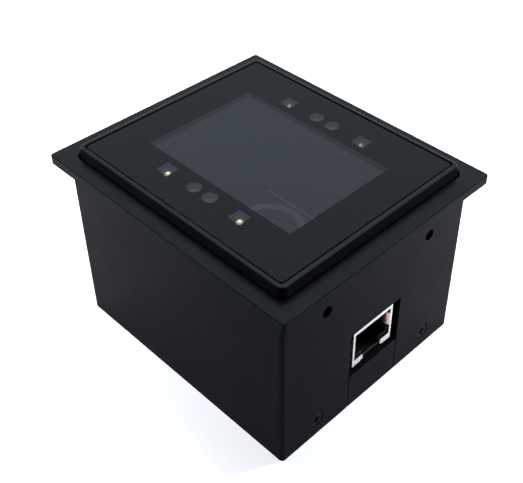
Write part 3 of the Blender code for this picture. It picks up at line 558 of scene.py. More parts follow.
@dataclass(frozen=True)
class CellFoam(Finish):
    """Closed-cell adhesive foam."""

    lifts: Pair = (1.6, 0.5)
    cell: float = 0.00035
    relief: float = 0.00008
    roughness: float = 0.85
    wander: float = 0.1
    gloss: float = 0.2

    def coat(self, paint: Paint) -> Wire:
        """Builds the surface in a tree.

        Args:
            paint: the tree to build in.

        Returns:
            The surface.
        """
        cells = paint.cells(self.cell)
        return paint.surface(
            Base_Color=self.mottled(paint, cells), Roughness=cells * self.wander + self.roughness,
            Specular_IOR_Level=self.gloss, Normal=paint.bump(cells, self.relief, strength=0.9),
        )


@dataclass(frozen=True)
class LitPhosphor(Finish):
    """Phosphor over a lit lamp chip, hottest in a grain of small spots."""

    strength: float = 6.0
    grain: float = 0.00015
    low_lift: float = 0.85
    roughness: float = 0.4
    wander: float = 0.2

    def coat(self, paint: Paint) -> Wire:
        """Builds the surface in a tree.

        Args:
            paint: the tree to build in.

        Returns:
            The surface.
        """
        grain = paint.noise(self.grain, detail=2.0)
        glow = paint.blend(grain, self.lifted(self.low_lift), self.colour)
        return paint.surface(
            Base_Color=(*self.colour, 1.0), Roughness=grain * self.wander + self.roughness,
            Emission_Color=glow, Emission_Strength=self.strength,
        )


@dataclass(frozen=True)
class CoatedLens(Finish):
    """Dark lens glass whose coating turns from blue to violet towards its rim."""

    rim_colour: Colour = (0.10, 0.03, 0.16)
    turn: float = 0.35
    mote: float = 0.0012
    mote_cover: Pair = (0.62, 0.85)
    mote_share: float = 0.15
    roughness: float = 0.03
    gloss: float = 0.9
    coating: float = 0.6

    def coat(self, paint: Paint) -> Wire:
        """Builds the surface in a tree.

        Args:
            paint: the tree to build in.

        Returns:
            The surface.
        """
        slant = paint.wire(paint.node("ShaderNodeLayerWeight", None, {"Blend": self.turn}), "Facing")
        painted_window_light = paint.noise(self.mote, detail=4.0).ramp(*self.mote_cover)
        return paint.surface(
            Base_Color=paint.blend(slant, self.colour, self.rim_colour),
            Roughness=painted_window_light * self.mote_share + self.roughness, Specular_IOR_Level=self.gloss, Coat_Weight=self.coating,
        )


@dataclass(frozen=True)
class ClearResin(Finish):
    """Clear or smoked lamp resin, lit from outside, with faint flow marks."""

    roughness: float = 0.12
    wander: float = 0.08
    flow: float = 0.0008
    relief: float = 0.00001
    clearness: float = 0.35
    skin: float = 0.5

    def coat(self, paint: Paint) -> Wire:
        """Builds the surface in a tree.

        Args:
            paint: the tree to build in.

        Returns:
            The surface.
        """
        flow = paint.noise(self.flow, detail=3.0)
        return paint.surface(
            Base_Color=self.mottled(paint, flow), Roughness=flow * self.wander + self.roughness,
            Transmission_Weight=self.clearness, Coat_Weight=self.skin,
            Normal=paint.bump(flow, self.relief, strength=0.5),
        )


@dataclass(frozen=True)
class RibbonFilm(Finish):
    """Polyester film over flat conductors, which show through as darker lines."""

    pitch: float = 0.0005
    line_edge: Pair = (0.18, 0.26)
    line_share: float = 0.8
    line_colour: Colour = (0.42, 0.43, 0.45)
    haze: float = 0.0012
    haze_tone: float = 0.1
    wander: float = 0.15
    roughness: float = 0.28
    skin: float = 0.3
    relief: float = 0.00003

    def coat(self, paint: Paint) -> Wire:
        """Builds the surface in a tree.

        Args:
            paint: the tree to build in.

        Returns:
            The surface.
        """
        _, north, _ = paint.axes()
        lines = abs((north / self.pitch).part() - 0.5).ramp(*self.line_edge)
        haze = paint.noise(self.haze, detail=3.0)
        share = (1 - lines) * self.line_share + haze * self.haze_tone
        return paint.surface(
            Base_Color=paint.blend(share, self.colour, self.line_colour),
            Roughness=haze * self.wander + self.roughness, Coat_Weight=self.skin,
            Normal=paint.bump(1 - lines, self.relief, strength=0.6),
        )


@dataclass(frozen=True)
class StudioFloor(Finish):
    """Pale sweep that turns white for the eye and for reflections, but keeps the shadow."""

    lift: float = 0.45
    mirrored: float = 0.3
    roughness: float = 0.9
    gloss: float = 0.1

    def coat(self, paint: Paint) -> Wire:
        """Builds the surface in a tree.

        Args:
            paint: the tree to build in.

        Returns:
            The surface.
        """
        path = paint.node("ShaderNodeLightPath")
        mirrored = paint.wire(path, "Is Glossy Ray") * self.mirrored
        seen = paint.wire(path, "Is Camera Ray").most(paint.wire(path, "Is Transmission Ray")).most(mirrored)
        paper = paint.surface(
            Base_Color=(*self.colour, 1.0), Roughness=self.roughness, Specular_IOR_Level=self.gloss
        )
        glow = paint.wire(paint.node("ShaderNodeEmission", None, {"Strength": seen * self.lift}))
        return paint.wire(paint.node("ShaderNodeAddShader", None, {0: paper, 1: glow}))


BODY_PLASTIC = MouldedPlastic(
    "body_plastic", (0.0032, 0.0036, 0.0045), roughness=0.46, gloss=0.020, satin=1.0, satin_roughness=0.30,
    satin_bend=1.6, satin_slope=(0.76, 0.98)
)
BEZEL_PLASTIC = MouldedPlastic(
    "bezel_plastic", (0.0030, 0.0033, 0.0042), roughness=0.20, gloss=0.03, relief=0.000004, satin=0.84, satin_bend=1.8,
    satin_from=0.0520, satin_depth=1.0
)
SHROUD_PLASTIC = MouldedPlastic("matte_black", (0.0030, 0.0031, 0.0034), roughness=0.80, gloss=0.05, grain=0.00022)
# The ledge grey is light as a painted highlight along the foot of the funnel's long walls.
LEDGE_HIGHLIGHT_PLASTIC = MouldedPlastic("ledge_painted_highlight", (0.19, 0.20, 0.21), roughness=0.35, gloss=0.5)
CAMERA_PLASTIC = MouldedPlastic("camera_black", (0.0080, 0.0086, 0.0094), roughness=0.50, gloss=0.3)
# The hood ring's light grey is a painted highlight for the bright arc round the lens.
HOOD_HIGHLIGHT_PLASTIC = MouldedPlastic("hood_painted_highlight", (0.070, 0.074, 0.079), roughness=0.34, gloss=0.4)
SOCKET_PLASTIC = MouldedPlastic("socket_black", (0.0050, 0.0044, 0.0046), roughness=0.40, gloss=0.2)
BARREL_BLACK = MouldedPlastic("barrel_black", (0.0180, 0.0190, 0.0205), roughness=0.34, gloss=0.5, relief=0.000004)
FRONT_GLASS = ClearGlass("front_glass_clear", (0.93, 0.97, 1.0))
PRINT_BLACK = PrintInk("print_black", (0.0030, 0.0035, 0.0042))
SEAL_FOAM = CellFoam("seal_foam", (0.006, 0.006, 0.006))
SCREW_BLACK = MouldedPlastic("screw_black_oxide", (0.0030, 0.0033, 0.0040), roughness=0.42, gloss=0.03, relief=0.000004)
SCREW_STEEL = PlatedMetal("screw_steel", (0.52, 0.52, 0.54), roughness=0.30)
SHELL_TIN = PlatedMetal("socket_tin", (0.80, 0.79, 0.76), roughness=0.24, streaks=Axis.X)
SPRING_BRONZE = PlatedMetal("spring_bronze", (0.78, 0.60, 0.50), roughness=0.22, streaks=Axis.Y)
CONTACT_GOLD = PlatedMetal("contact_gold", (0.92, 0.70, 0.30), roughness=0.20)
SOLDER_TIN = PlatedMetal("solder_tin", (0.66, 0.66, 0.67), roughness=0.28, streak=0.0002)
BOARD_GREEN = SolderMask("board_green", (0.010, 0.070, 0.030))
CHIP_RESIN = FilledResin("chip_black", (0.022, 0.022, 0.024))
FERRITE = FilledResin("inductor_ferrite", (0.060, 0.060, 0.062), roughness=0.6)
CERAMIC = FilledResin("capacitor_ceramic", (0.30, 0.20, 0.12), roughness=0.4)
LAMP_RESIN = FilledResin("lamp_reflector", (0.62, 0.63, 0.66), roughness=0.45, sparkle=0.1)
NYLON_CREAM = FilledResin("connector_cream", (0.70, 0.64, 0.50), roughness=0.42, sparkle=0.1)
WARM_PHOSPHOR = LitPhosphor("phosphor_warm", (0.62, 0.72, 0.06), strength=0.55)
PALE_PHOSPHOR = LitPhosphor("phosphor_pale", (0.92, 0.96, 1.0), strength=0.10)
WARM_CORE = LitPhosphor("core_warm", (1.0, 1.0, 0.93), strength=1.7)
PALE_CORE = LitPhosphor("core_pale", (0.95, 0.98, 1.0), strength=0.16)
LENS_COATED = CoatedLens("lens_coated", (0.010, 0.016, 0.040))
DOME_RESIN = ClearResin("dome_resin", (0.42, 0.41, 0.48))
SENSOR_FACE = CoatedLens("sensor_face", (0.030, 0.045, 0.060), rim_colour=(0.05, 0.02, 0.09))
RIBBON_WHITE = RibbonFilm("ribbon_white", (0.78, 0.78, 0.76))
FLOOR_PAPER = StudioFloor("floor_paper", (0.60, 0.58, 0.56))


def rounded(half: Sequence[float], radius: float, level: float, steps: int = 6) -> list[Vector]:
    """A level rectangle with round corners.

    Args:
        half: half its size along X and Y.
        radius: its corners.
        level: its height.
        steps: facets in each corner.

    Returns:
        Its points, in order.
    """
    points = []
    for quarter, (side_x, side_y) in enumerate(((1, 1), (-1, 1), (-1, -1), (1, -1))):
        for step in range(steps + 1):
            angle = QUARTER_TURN * (quarter + step / steps)
            x = side_x * (half[0] - radius) + radius * math.cos(angle)
            y = side_y * (half[1] - radius) + radius * math.sin(angle)
            points.append(Vector((x, y, level)))
    return points


class Solid:
    """A closed shape in the making, in the model's frame."""

    def __init__(self) -> None:
        """Starts with nothing."""
        self.grid = bmesh.new()

    @classmethod
    def copy_of(cls, node: str) -> Solid:
        """A CAD node's shape, with its loose triangles merged and its flat faces made whole.

        Args:
            node: the CAD node's name.

        Returns:
            The copied shape.
        """
        made = cls()
        made.grid.from_mesh(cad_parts[node].data)
        bmesh.ops.remove_doubles(made.grid, verts=made.grid.verts, dist=MERGE_DISTANCE)
        bmesh.ops.dissolve_limit(
            made.grid, angle_limit=FLAT_ANGLE, verts=made.grid.verts, edges=made.grid.edges
        )
        return made

    def loft(self, loops: Sequence[Sequence[Vector]], ring: bool = False) -> Solid:
        """Joins loops of points with faces.

        Args:
            loops: loops with as many points each.
            ring: joins the last loop to the first one; otherwise both are closed.

        Returns:
            This shape.
        """
        rows = [[self.grid.verts.new(point) for point in loop] for loop in loops]
        pairs = list(zip(rows, rows[1:]))
        if ring:
            pairs.append((rows[-1], rows[0]))
        else:
            self.grid.faces.new(rows[0])
            self.grid.faces.new(rows[-1])
        for low, high in pairs:
            for step, corner in enumerate(low):
                after = (step + 1) % len(low)
                self.grid.faces.new((corner, low[after], high[after], high[step]))
        return self

    def lathe(self, profile: Iterable[Pair], segments: int, ring: bool = False) -> Solid:
        """Turns a profile of radius and level about Z; a ring's profile goes once round a wall and meets itself."""
        angles = [math.tau * (step + 0.5) / segments for step in range(segments)]
        return self.loft([[Vector((r * math.cos(a), r * math.sin(a), z)) for a in angles] for r, z in profile], ring)

    def block(self, low: Sequence[float], high: Sequence[float]) -> Solid:
        """Adds a box from its lowest to its highest corner."""
        outline = ((low[0], low[1]), (high[0], low[1]), (high[0], high[1]), (low[0], high[1]))
        return self.loft([[Vector((x, y, z)) for x, y in outline] for z in (low[2], high[2])])

    def slab(self, half: Sequence[float], radius: float, low: float, high: float, steps: int = 6) -> Solid:
        """Adds a plate of a half size along X and Y, with round corners, between two levels."""
        return self.loft([rounded(half, radius, level, steps) for level in (low, high)])

    def frame(self, half: Sequence[float], radius: float, profile: Iterable[Pair]) -> Solid:
        """Runs a profile of reach and level once round a rectangle with round corners."""
        loops = [rounded((half[0] + out, half[1] + out), radius + out, level) for out, level in profile]
        return self.loft(loops, ring=True)

    def at(self, x: float, y: float, z: float = 0.0) -> Solid:
        """Moves the whole shape."""
        bmesh.ops.transform(self.grid, matrix=Matrix.Translation((x, y, z)), verts=self.grid.verts)
        return self

    def round_off(self, width: float, segments: int, chosen: Callable[[bmesh.types.BMEdge], bool]) -> Solid:
        """Rounds chosen edges.

        Args:
            width: how far the round reaches from the edge.
            segments: its facets.
            chosen: says for each edge whether it is rounded.

        Returns:
            This shape.
        """
        bmesh.ops.recalc_face_normals(self.grid, faces=self.grid.faces)
        picked = [edge for edge in self.grid.edges if chosen(edge)]
        bmesh.ops.bevel(
            self.grid, geom=picked, offset=width, segments=segments, profile=0.5, affect="EDGES",
            clamp_overlap=True,
        )
        return self

    def mesh(self, name: str) -> bpy.types.Mesh:
        """Ends the work on the shape and gives its mesh, faces outwards."""
        bmesh.ops.recalc_face_normals(self.grid, faces=self.grid.faces)
        made = bpy.data.meshes.new(name)
        self.grid.to_mesh(made)
        self.grid.free()
        return made


class Part:
    """A piece of the scanner on its way from a shape to a dressed object."""

    def __init__(self, name: str, mesh: bpy.types.Mesh) -> None:
        """Puts a mesh into the scene under the piece's name."""
        self.piece = bpy.data.objects.new(name, mesh)
        bpy.context.scene.collection.objects.link(self.piece)

    @classmethod
    def of(cls, name: str, solid: Solid) -> Part:
        """A piece of a shape."""
        return cls(name, solid.mesh(name))

    @classmethod
    def copy_of(cls, name: str, node: str) -> Part:
        """A piece with a CAD node's shape."""
        return cls.of(name, Solid.copy_of(node))

    def settle(self) -> None:
        """Makes what the modifiers do a part of the mesh and takes them off."""
        graph = bpy.context.evaluated_depsgraph_get()
        settled = bpy.data.meshes.new_from_object(
            self.piece.evaluated_get(graph), preserve_all_data_layers=True, depsgraph=graph
        )
        self.piece.modifiers.clear()
        self.piece.data = settled

    def face_outward(self) -> Part:
        """Turns every face of each closed shell outwards."""
        grid = bmesh.new()
        grid.from_mesh(self.piece.data)
        bmesh.ops.recalc_face_normals(grid, faces=grid.faces)
        grid.to_mesh(self.piece.data)
        grid.free()
        return self

    def combine(self, tool: Solid, join: Join = Join.CUT) -> Part:
        """Cuts a tool's shape out of the piece, or fuses it on.

        Args:
            tool: the tool's shape.
            join: what to do with it.

        Returns:
            This part.
        """
        helper = Part.of("tool", tool).piece
        modifier = self.piece.modifiers.new("join", "BOOLEAN")
        modifier.operation = join.value
        modifier.solver = "EXACT"
        modifier.object = helper
        self.settle()
        bpy.data.objects.remove(helper, do_unlink=True)
        return self

    def soften(self, width: float, segments: int = 2) -> Part:
        """Rounds every sharp edge, and marks the rounds for the finishes.

        Args:
            width: how far the rounds reach.
            segments: their facets.

        Returns:
            This part.
        """
        self.piece.data.shade_smooth()
        modifier = self.piece.modifiers.new("soften", "BEVEL")
        modifier.width = width
        modifier.segments = segments
        modifier.limit_method = "ANGLE"
        modifier.angle_limit = SHARP_ANGLE
        modifier.material = 1
        self.piece.data.materials.clear()
        for _ in range(2):
            self.piece.data.materials.append(None)
        self.settle()
        mesh = self.piece.data
        marks = mesh.attributes.new(EDGE_MARK, "FLOAT", "CORNER")
        for face in mesh.polygons:
            if face.material_index:
                for corner in face.loop_indices:
                    marks.data[corner].value = 1.0
                face.material_index = 0
        return self.flatten()

    def flatten(self) -> Part:
        """Lets large faces rule the shading, so that they look flat up to their rounds."""
        self.piece.data.set_sharp_from_angle(angle=CHAMFER_ANGLE)
        modifier = self.piece.modifiers.new("flatten", "WEIGHTED_NORMAL")
        modifier.weight = FACE_WEIGHT
        modifier.keep_sharp = True
        self.settle()
        return self

    def smooth(self) -> Part:
        """Shades round sides smooth."""
        self.piece.data.shade_smooth()
        self.piece.data.set_sharp_from_angle(angle=SHARP_ANGLE)
        return self

    def dress(self, finish: Finish, slot: str, *nodes: str, body: Body = Body.SCANNER) -> Part:
        """Gives the piece its finish and its place on the model.

        Args:
            finish: the finish of its whole surface.
            slot: the record's material slot; not used.
            nodes: the CAD nodes that it stands for.
            body: the body that it rides on.

        Returns:
            This part.
        """
        self.piece.data.materials.clear()
        self.piece.data.materials.append(finish.material())
        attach(self.piece, body.value)
        if nodes:
            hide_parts(*nodes)
        LOG.info("%s: %d faces on %s", self.piece.name, len(self.piece.data.polygons), body.value)
        return self


def group(stem: str, count: int) -> list[str]:
    """The names of numbered CAD nodes, from 1 up."""
    return [f"{stem}_{number}" for number in range(1, count + 1)]


def plain(
    name: str, node: str, finish: Finish, slot: str, edge: float, segments: int = 2, body: Body = Body.SCANNER
) -> None:
    """Makes a piece with a CAD node's shape and rounded edges, and dresses it."""
    Part.copy_of(name, node).soften(edge, segments).dress(finish, slot, node, body=body)


def crown(radius: float, low: float, high: float, steps: int = 8) -> list[Pair]:
    """The outline of a round dome, as pairs of radius and level from its foot to its top."""
    angles = [QUARTER_TURN * DOME_SHARE * step / steps for step in range(steps + 1)]
    return [(radius * math.cos(angle), low + (high - low) * math.sin(angle)) for angle in angles]


def bar(inner: float, outer: float, low: float, high: float) -> list[Pair]:
    """The corners of a square bar's cross-section, as pairs of reach and level."""
    return [(inner, low), (outer, low), (outer, high), (inner, high)]


def span(side: int, first: float, second: float) -> list[float]:
    """Two distances from the middle towards a side, as coordinates with the lower one first."""
    return sorted((side * first, side * second))


def inset(point: Vector, half: Vector, radius: float) -> float:
    """How far a point lies inside the outline of a plate with round corners, seen from above; 0 is on it."""
    x, y = abs(point.x) - half.x + radius, abs(point.y) - half.y + radius
    return radius - math.hypot(max(x, 0.0), max(y, 0.0)) - min(max(x, y), 0.0)


def node_spans(node: str) -> tuple[Vector, Vector, Vector]:
    """The lowest corner, the highest corner and the middle of a CAD node's box."""
    low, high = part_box(node)
    return low, high, (low + high) / 2


def node_middle(node: str) -> Vector:
    """The middle of a CAD node's box."""
    return node_spans(node)[2]


def node_foot(node: str) -> Vector:
    """The middle of the underside of a CAD node's box."""
    low, _, middle = node_spans(node)
    return Vector((*middle.xy, low.z))


class Pattern:
    """A Geometry Nodes tree with named inputs, grown into a plain mesh."""

    def __init__(self, name: str, finish: Finish) -> None:
        """Starts a tree.

        Args:
            name: the tree's name.
            finish: the finish of what it makes.
        """
        self.tree = bpy.data.node_groups.new(name, "GeometryNodeTree")
        self.finish = finish
        self.original: bpy.types.Object | None = None
        self.amounts: dict[str, object] = {}
        self.entry = self.tree.nodes.new("NodeGroupInput")
        for way in ("INPUT", "OUTPUT"):
            self.tree.interface.new_socket("Geometry", in_out=way, socket_type="NodeSocketGeometry")

    def size(self, name: str, amount: object, kind: str = "Float") -> bpy.types.NodeSocket:
        """Adds a named input.

        Args:
            name: the input's name.
            amount: its value.
            kind: its socket type's last word.

        Returns:
            The socket to link from.
        """
        item = self.tree.interface.new_socket(name, in_out="INPUT", socket_type=f"NodeSocket{kind}")
        self.amounts[item.identifier] = amount
        return self.entry.outputs[name]

    def add(self, kind: str, settings: dict | None = None, **values: object) -> bpy.types.Node:
        """Adds a node.

        Args:
            kind: the node's type after GeometryNode, or the whole type.
            settings: its own settings, set before its sockets.
            values: a value or a socket for each input; an underscore stands for a space.

        Returns:
            The node.
        """
        made = self.tree.nodes.new(kind if "Node" in kind else f"GeometryNode{kind}")
        for name, setting in (settings or {}).items():
            setattr(made, name, setting)
        for name, value in values.items():
            socket = made.inputs[name.replace("_", " ")]
            if isinstance(value, bpy.types.NodeSocket):
                self.tree.links.new(value, socket)
            else:
                socket.default_value = value
        return made

    def circle(self, name: str, radius: float, sides: int) -> bpy.types.NodeSocket:
        """A circle with a named radius."""
        wide = self.size(name, radius)
        return self.add("CurvePrimitiveCircle", {"mode": "RADIUS"}, Resolution=sides, Radius=wide).outputs["Curve"]

    def sweep(
        self, path: bpy.types.NodeSocket, profile: bpy.types.NodeSocket, caps: bool = True
    ) -> bpy.types.NodeSocket:
        """A bar with a profile along a path, its ends closed if it has any."""
        return self.add("CurveToMesh", Curve=path, Profile_Curve=profile, Fill_Caps=caps).outputs["Mesh"]

    def row(self, count: int, pitch: float, axis: int) -> bpy.types.NodeSocket:
        """Points in a row about the middle.

        Args:
            count: how many there are.
            pitch: the distance from one to the next.
            axis: the number of the axis that they lie along.

        Returns:
            The points.
        """
        first, step = (
            tuple(amount if number == axis else 0.0 for number in range(3))
            for amount in (-(count - 1) * pitch / 2, pitch)
        )
        line = self.add(
            "MeshLine", {"mode": "OFFSET"}, Count=self.size("Count", count, "Int"),
            Start_Location=self.size("Start", first, "Vector"), Offset=self.size("Pitch", step, "Vector"),
        )
        return line.outputs["Mesh"]

    def shape_of(self, original: Part) -> bpy.types.NodeSocket:
        """The shape of an original.

        Args:
            original: the piece to copy; it leaves the scene once the pattern has grown.

        Returns:
            Its geometry.
        """
        self.original = original.piece
        source = self.size("Original", self.original, "Object")
        return self.add("ObjectInfo", {"transform_space": "ORIGINAL"}, Object=source).outputs["Geometry"]

    def repeat(self, points: bpy.types.NodeSocket, shape: bpy.types.NodeSocket) -> None:
        """Ends the tree with a copy of a shape at each point, turned as the point's mark says.

        Args:
            points: the points.
            shape: the geometry to copy.
        """
        turn = self.add("InputNamedAttribute", {"data_type": "FLOAT_VECTOR"}, Name=TURN_MARK)
        spread = self.add("InstanceOnPoints", Points=points, Instance=shape, Rotation=turn.outputs["Attribute"])
        real = self.add("RealizeInstances", Geometry=spread.outputs["Instances"])
        paint = self.size("Finish", self.finish.material(), "Material")
        dressed = self.add("SetMaterial", Geometry=real.outputs["Geometry"], Material=paint)
        self.tree.links.new(dressed.outputs["Geometry"], self.tree.nodes.new("NodeGroupOutput").inputs[0])

    def grow(self, name: str, places: Sequence[Vector], turns: Sequence[Vector] = ()) -> Part:
        """Grows the pattern on points.

        Args:
            name: the name of the piece to make.
            places: the points.
            turns: the turn at each point, as angles about X, Y and Z.

        Returns:
            The grown part.
        """
        mesh = bpy.data.meshes.new(name)
        mesh.from_pydata([tuple(place) for place in places], [], [])
        marks = mesh.attributes.new(TURN_MARK, "FLOAT_VECTOR", "POINT")
        for mark, turn in zip(marks.data, turns):
            mark.vector = turn
        return self.grow_on(name, mesh)

    def grow_on(self, name: str, carrier: bpy.types.Mesh) -> Part:
        """Grows the pattern on a mesh.

        Args:
            name: the name of the piece to make.
            carrier: the mesh that the tree starts from.

        Returns:
            The grown part.
        """
        grown = Part(name, carrier)
        modifier = grown.piece.modifiers.new("grow", "NODES")
        modifier.node_group = self.tree
        for identifier, amount in self.amounts.items():
            modifier[identifier] = amount
        grown.settle()
        if self.original:
            bpy.data.objects.remove(self.original, do_unlink=True)
            return grown
        return grown.face_outward()


class SetPattern(Pattern):
    """Copies of one original at points."""

    def __init__(self, name: str, finish: Finish, original: Part) -> None:
        """Builds the tree for copies of an original in a finish."""
        super().__init__(name, finish)
        self.repeat(self.entry.outputs["Geometry"], self.shape_of(original))


class ThreadPattern(Pattern):
    """Screw threads: a ridge wound round the axis at each point."""

    TURN_STEPS: ClassVar[int] = 20
    RIDGE_SIDES: ClassVar[int] = 4

    def __init__(self, name: str, finish: Finish, radius: float, pitch: float, turns: float, ridge: float) -> None:
        """Builds the tree.

        Args:
            name: the tree's name.
            finish: the finish of the ridge.
            radius: the radius that the ridge winds on.
            pitch: its rise in one turn.
            turns: how many turns it has.
            ridge: half the ridge's width.
        """
        super().__init__(name, finish)
        wide = self.size("Radius", radius)
        spiral = self.add(
            "CurveSpiral", Resolution=self.TURN_STEPS, Rotations=self.size("Turns", turns), Start_Radius=wide,
            End_Radius=wide, Height=self.size("Length", pitch * turns),
        )
        profile = self.circle("Ridge", ridge, self.RIDGE_SIDES)
        self.repeat(self.entry.outputs["Geometry"], self.sweep(spiral.outputs["Curve"], profile))


class RowPattern(Pattern):
    """Rows of copies of one original, each row lying about a point and running along its own X."""

    def __init__(self, name: str, finish: Finish, original: Part, count: int, pitch: float) -> None:
        """Builds the tree.

        Args:
            name: the tree's name.
            finish: the finish of the copies.
            original: the piece to copy.
            count: copies in a row.
            pitch: the distance from one to the next.
        """
        super().__init__(name, finish)
        row = self.add("InstanceOnPoints", Points=self.row(count, pitch, 0), Instance=self.shape_of(original))
        self.repeat(self.entry.outputs["Geometry"], row.outputs["Instances"])


class ViaPattern(Pattern):
    """Small plated holes scattered over the faces of a board."""

    ROUND_SIDES: ClassVar[int] = 10
    RIM_SIDES: ClassVar[int] = 4

    def __init__(self, name: str, finish: Finish, radius: float, rim: float, apart: float, seed: int) -> None:
        """Builds the tree.

        Args:
            name: the tree's name.
            finish: the finish of the rims.
            radius: the radius of a rim's middle line.
            rim: half the rim's width.
            apart: the least distance between two.
            seed: the seed of their places.
        """
        super().__init__(name, finish)
        spread = self.add(
            "DistributePointsOnFaces", {"distribute_method": "POISSON"}, Mesh=self.entry.outputs["Geometry"],
            Distance_Min=self.size("Apart", apart), Density_Max=self.size("Density", 1 / (apart * apart)),
            Seed=self.size("Seed", seed, "Int"),
        )
        ring = self.circle("Radius", radius, self.ROUND_SIDES)
        self.repeat(spread.outputs["Points"], self.sweep(ring, self.circle("Rim", rim, self.RIM_SIDES), caps=False))


class ConductorPattern(Pattern):
    """Wires side by side, each following the line that the tree starts from."""

    WIRE_SIDES: ClassVar[int] = 6

    def __init__(self, name: str, finish: Finish, count: int, pitch: float, radius: float) -> None:
        """Builds the tree.

        Args:
            name: the tree's name.
            finish: the finish of the wires.
            count: how many wires there are.
            pitch: the distance from one to the next, along Y.
            radius: the radius of a wire.
        """
        super().__init__(name, finish)
        line = self.add("MeshToCurve", Mesh=self.entry.outputs["Geometry"])
        wire = self.sweep(line.outputs["Curve"], self.circle("Radius", radius, self.WIRE_SIDES))
        self.repeat(self.row(count, pitch, 1), wire)


def copies(
    name: str, original: Part, finish: Finish, slot: str, places: Sequence[Vector], turns: Sequence[Vector] = (),
    nodes: Sequence[str] = (),
) -> None:
    """Sets copies of an original at points, as one piece that stands for some CAD nodes, and dresses it."""
    SetPattern(name, finish, original).grow(name, places, turns).dress(finish, slot, *nodes)


class Facing(Enum):
    """Which way a screw's head looks, as its turn about X."""

    UP = 0.0
    DOWN = math.pi
    FRONT = math.pi / 2
    BACK = -math.pi / 2

    def turn(self) -> Vector:
        """The turn as angles about X, Y and Z."""
        return Vector((self.value, 0, 0))

    def way(self) -> Vector:
        """The direction that the head looks in."""
        return Matrix.Rotation(self.value, 3, "X") @ Vector((0, 0, 1))


@dataclass
class ScrewSet:
    """Cross-recess screws of one kind, which stand for as many CAD nodes."""

    name: str
    nodes: list[str]
    finish: Finish
    facings: list[Facing]
    length: float
    shank: float = 0.0011
    tip_share: float = 0.35
    head: float = 0.0023
    head_height: float = 0.0016
    head_wall: float = 0.45
    head_flat: float = 0.42
    head_arc: float = QUARTER_TURN * 0.82
    head_steps: int = 6
    lip_share: float = 0.08
    pitch: float = 0.0006
    ridge: float = 0.00022
    ridge_sunk: float = 0.3
    bare: float = 1.8
    recess: float = 0.0012
    recess_depth: float = 0.0008
    slot_width: float = 0.0006
    cone_tip: float = 0.00005
    cone_depth: float = 1.2
    cone_mouth: float = 0.62
    cone_rise: float = OVERRUN * 0.4
    edge: float = 0.00006
    countersunk: bool = False

    def head_profile(self) -> list[Pair]:
        """The turned outline from the tip up over the head."""
        outline = [(self.shank * self.tip_share, -self.length), (self.shank, self.shank - self.length)]
        outline.append((self.shank, 0.0))
        if self.countersunk:
            lip = self.recess * self.lip_share
            return [(r, min(z, -self.head_height)) for r, z in outline] + [(self.head, -lip), (self.head, 0.0)]
        outline.append((self.head, 0.0))
        for step in range(self.head_steps + 1):
            angle = self.head_arc * step / self.head_steps
            rise = self.head_wall + (1 - self.head_wall) * math.sin(angle) / math.sin(self.head_arc)
            reach = self.head_flat + (1 - self.head_flat) * math.cos(angle)
            outline.append((self.head * reach, self.head_height * rise))
        return outline

    def original(self) -> Part:
        """One screw along Z, its head's seat or its flush face at the origin."""
        screw = Part.of(f"{self.name}_original", Solid().lathe(self.head_profile(), segments=28))
        top = 0.0 if self.countersunk else self.head_height
        for half in ((self.recess, self.slot_width / 2), (self.slot_width / 2, self.recess)):
            low = (-half[0], -half[1], top - self.recess_depth)
            screw.combine(Solid().block(low, (*half, top + OVERRUN)))
        foot = (self.cone_tip, top - self.recess_depth * self.cone_depth)
        mouth = (self.recess * self.cone_mouth, top + self.cone_rise)
        return screw.combine(Solid().lathe((foot, mouth), segments=16)).soften(self.edge, segments=1)

    def build(self) -> None:
        """Places the screws where their nodes are, and winds their threads."""
        sink = 0.0 if self.countersunk else self.head_height
        seats = []
        for node, facing in zip(self.nodes, self.facings):
            low, high, middle = node_spans(node)
            reach = abs((high - low).dot(facing.way())) / 2
            seats.append(middle + facing.way() * (reach - sink))
        turns = [facing.turn() for facing in self.facings]
        copies(self.name, self.original(), self.finish, "screw_steel", seats, turns, self.nodes)
        run = self.length - self.shank * self.bare - (self.head_height if self.countersunk else 0.0)
        feet = [seat - facing.way() * (self.length - self.shank) for seat, facing in zip(seats, self.facings)]
        radius = self.shank - self.ridge * self.ridge_sunk
        wind = ThreadPattern(f"{self.name}_wind", self.finish, radius, self.pitch, run / self.pitch, self.ridge)
        wind.grow(f"{self.name}_threads", feet, turns).smooth().dress(self.finish, "screw_steel")


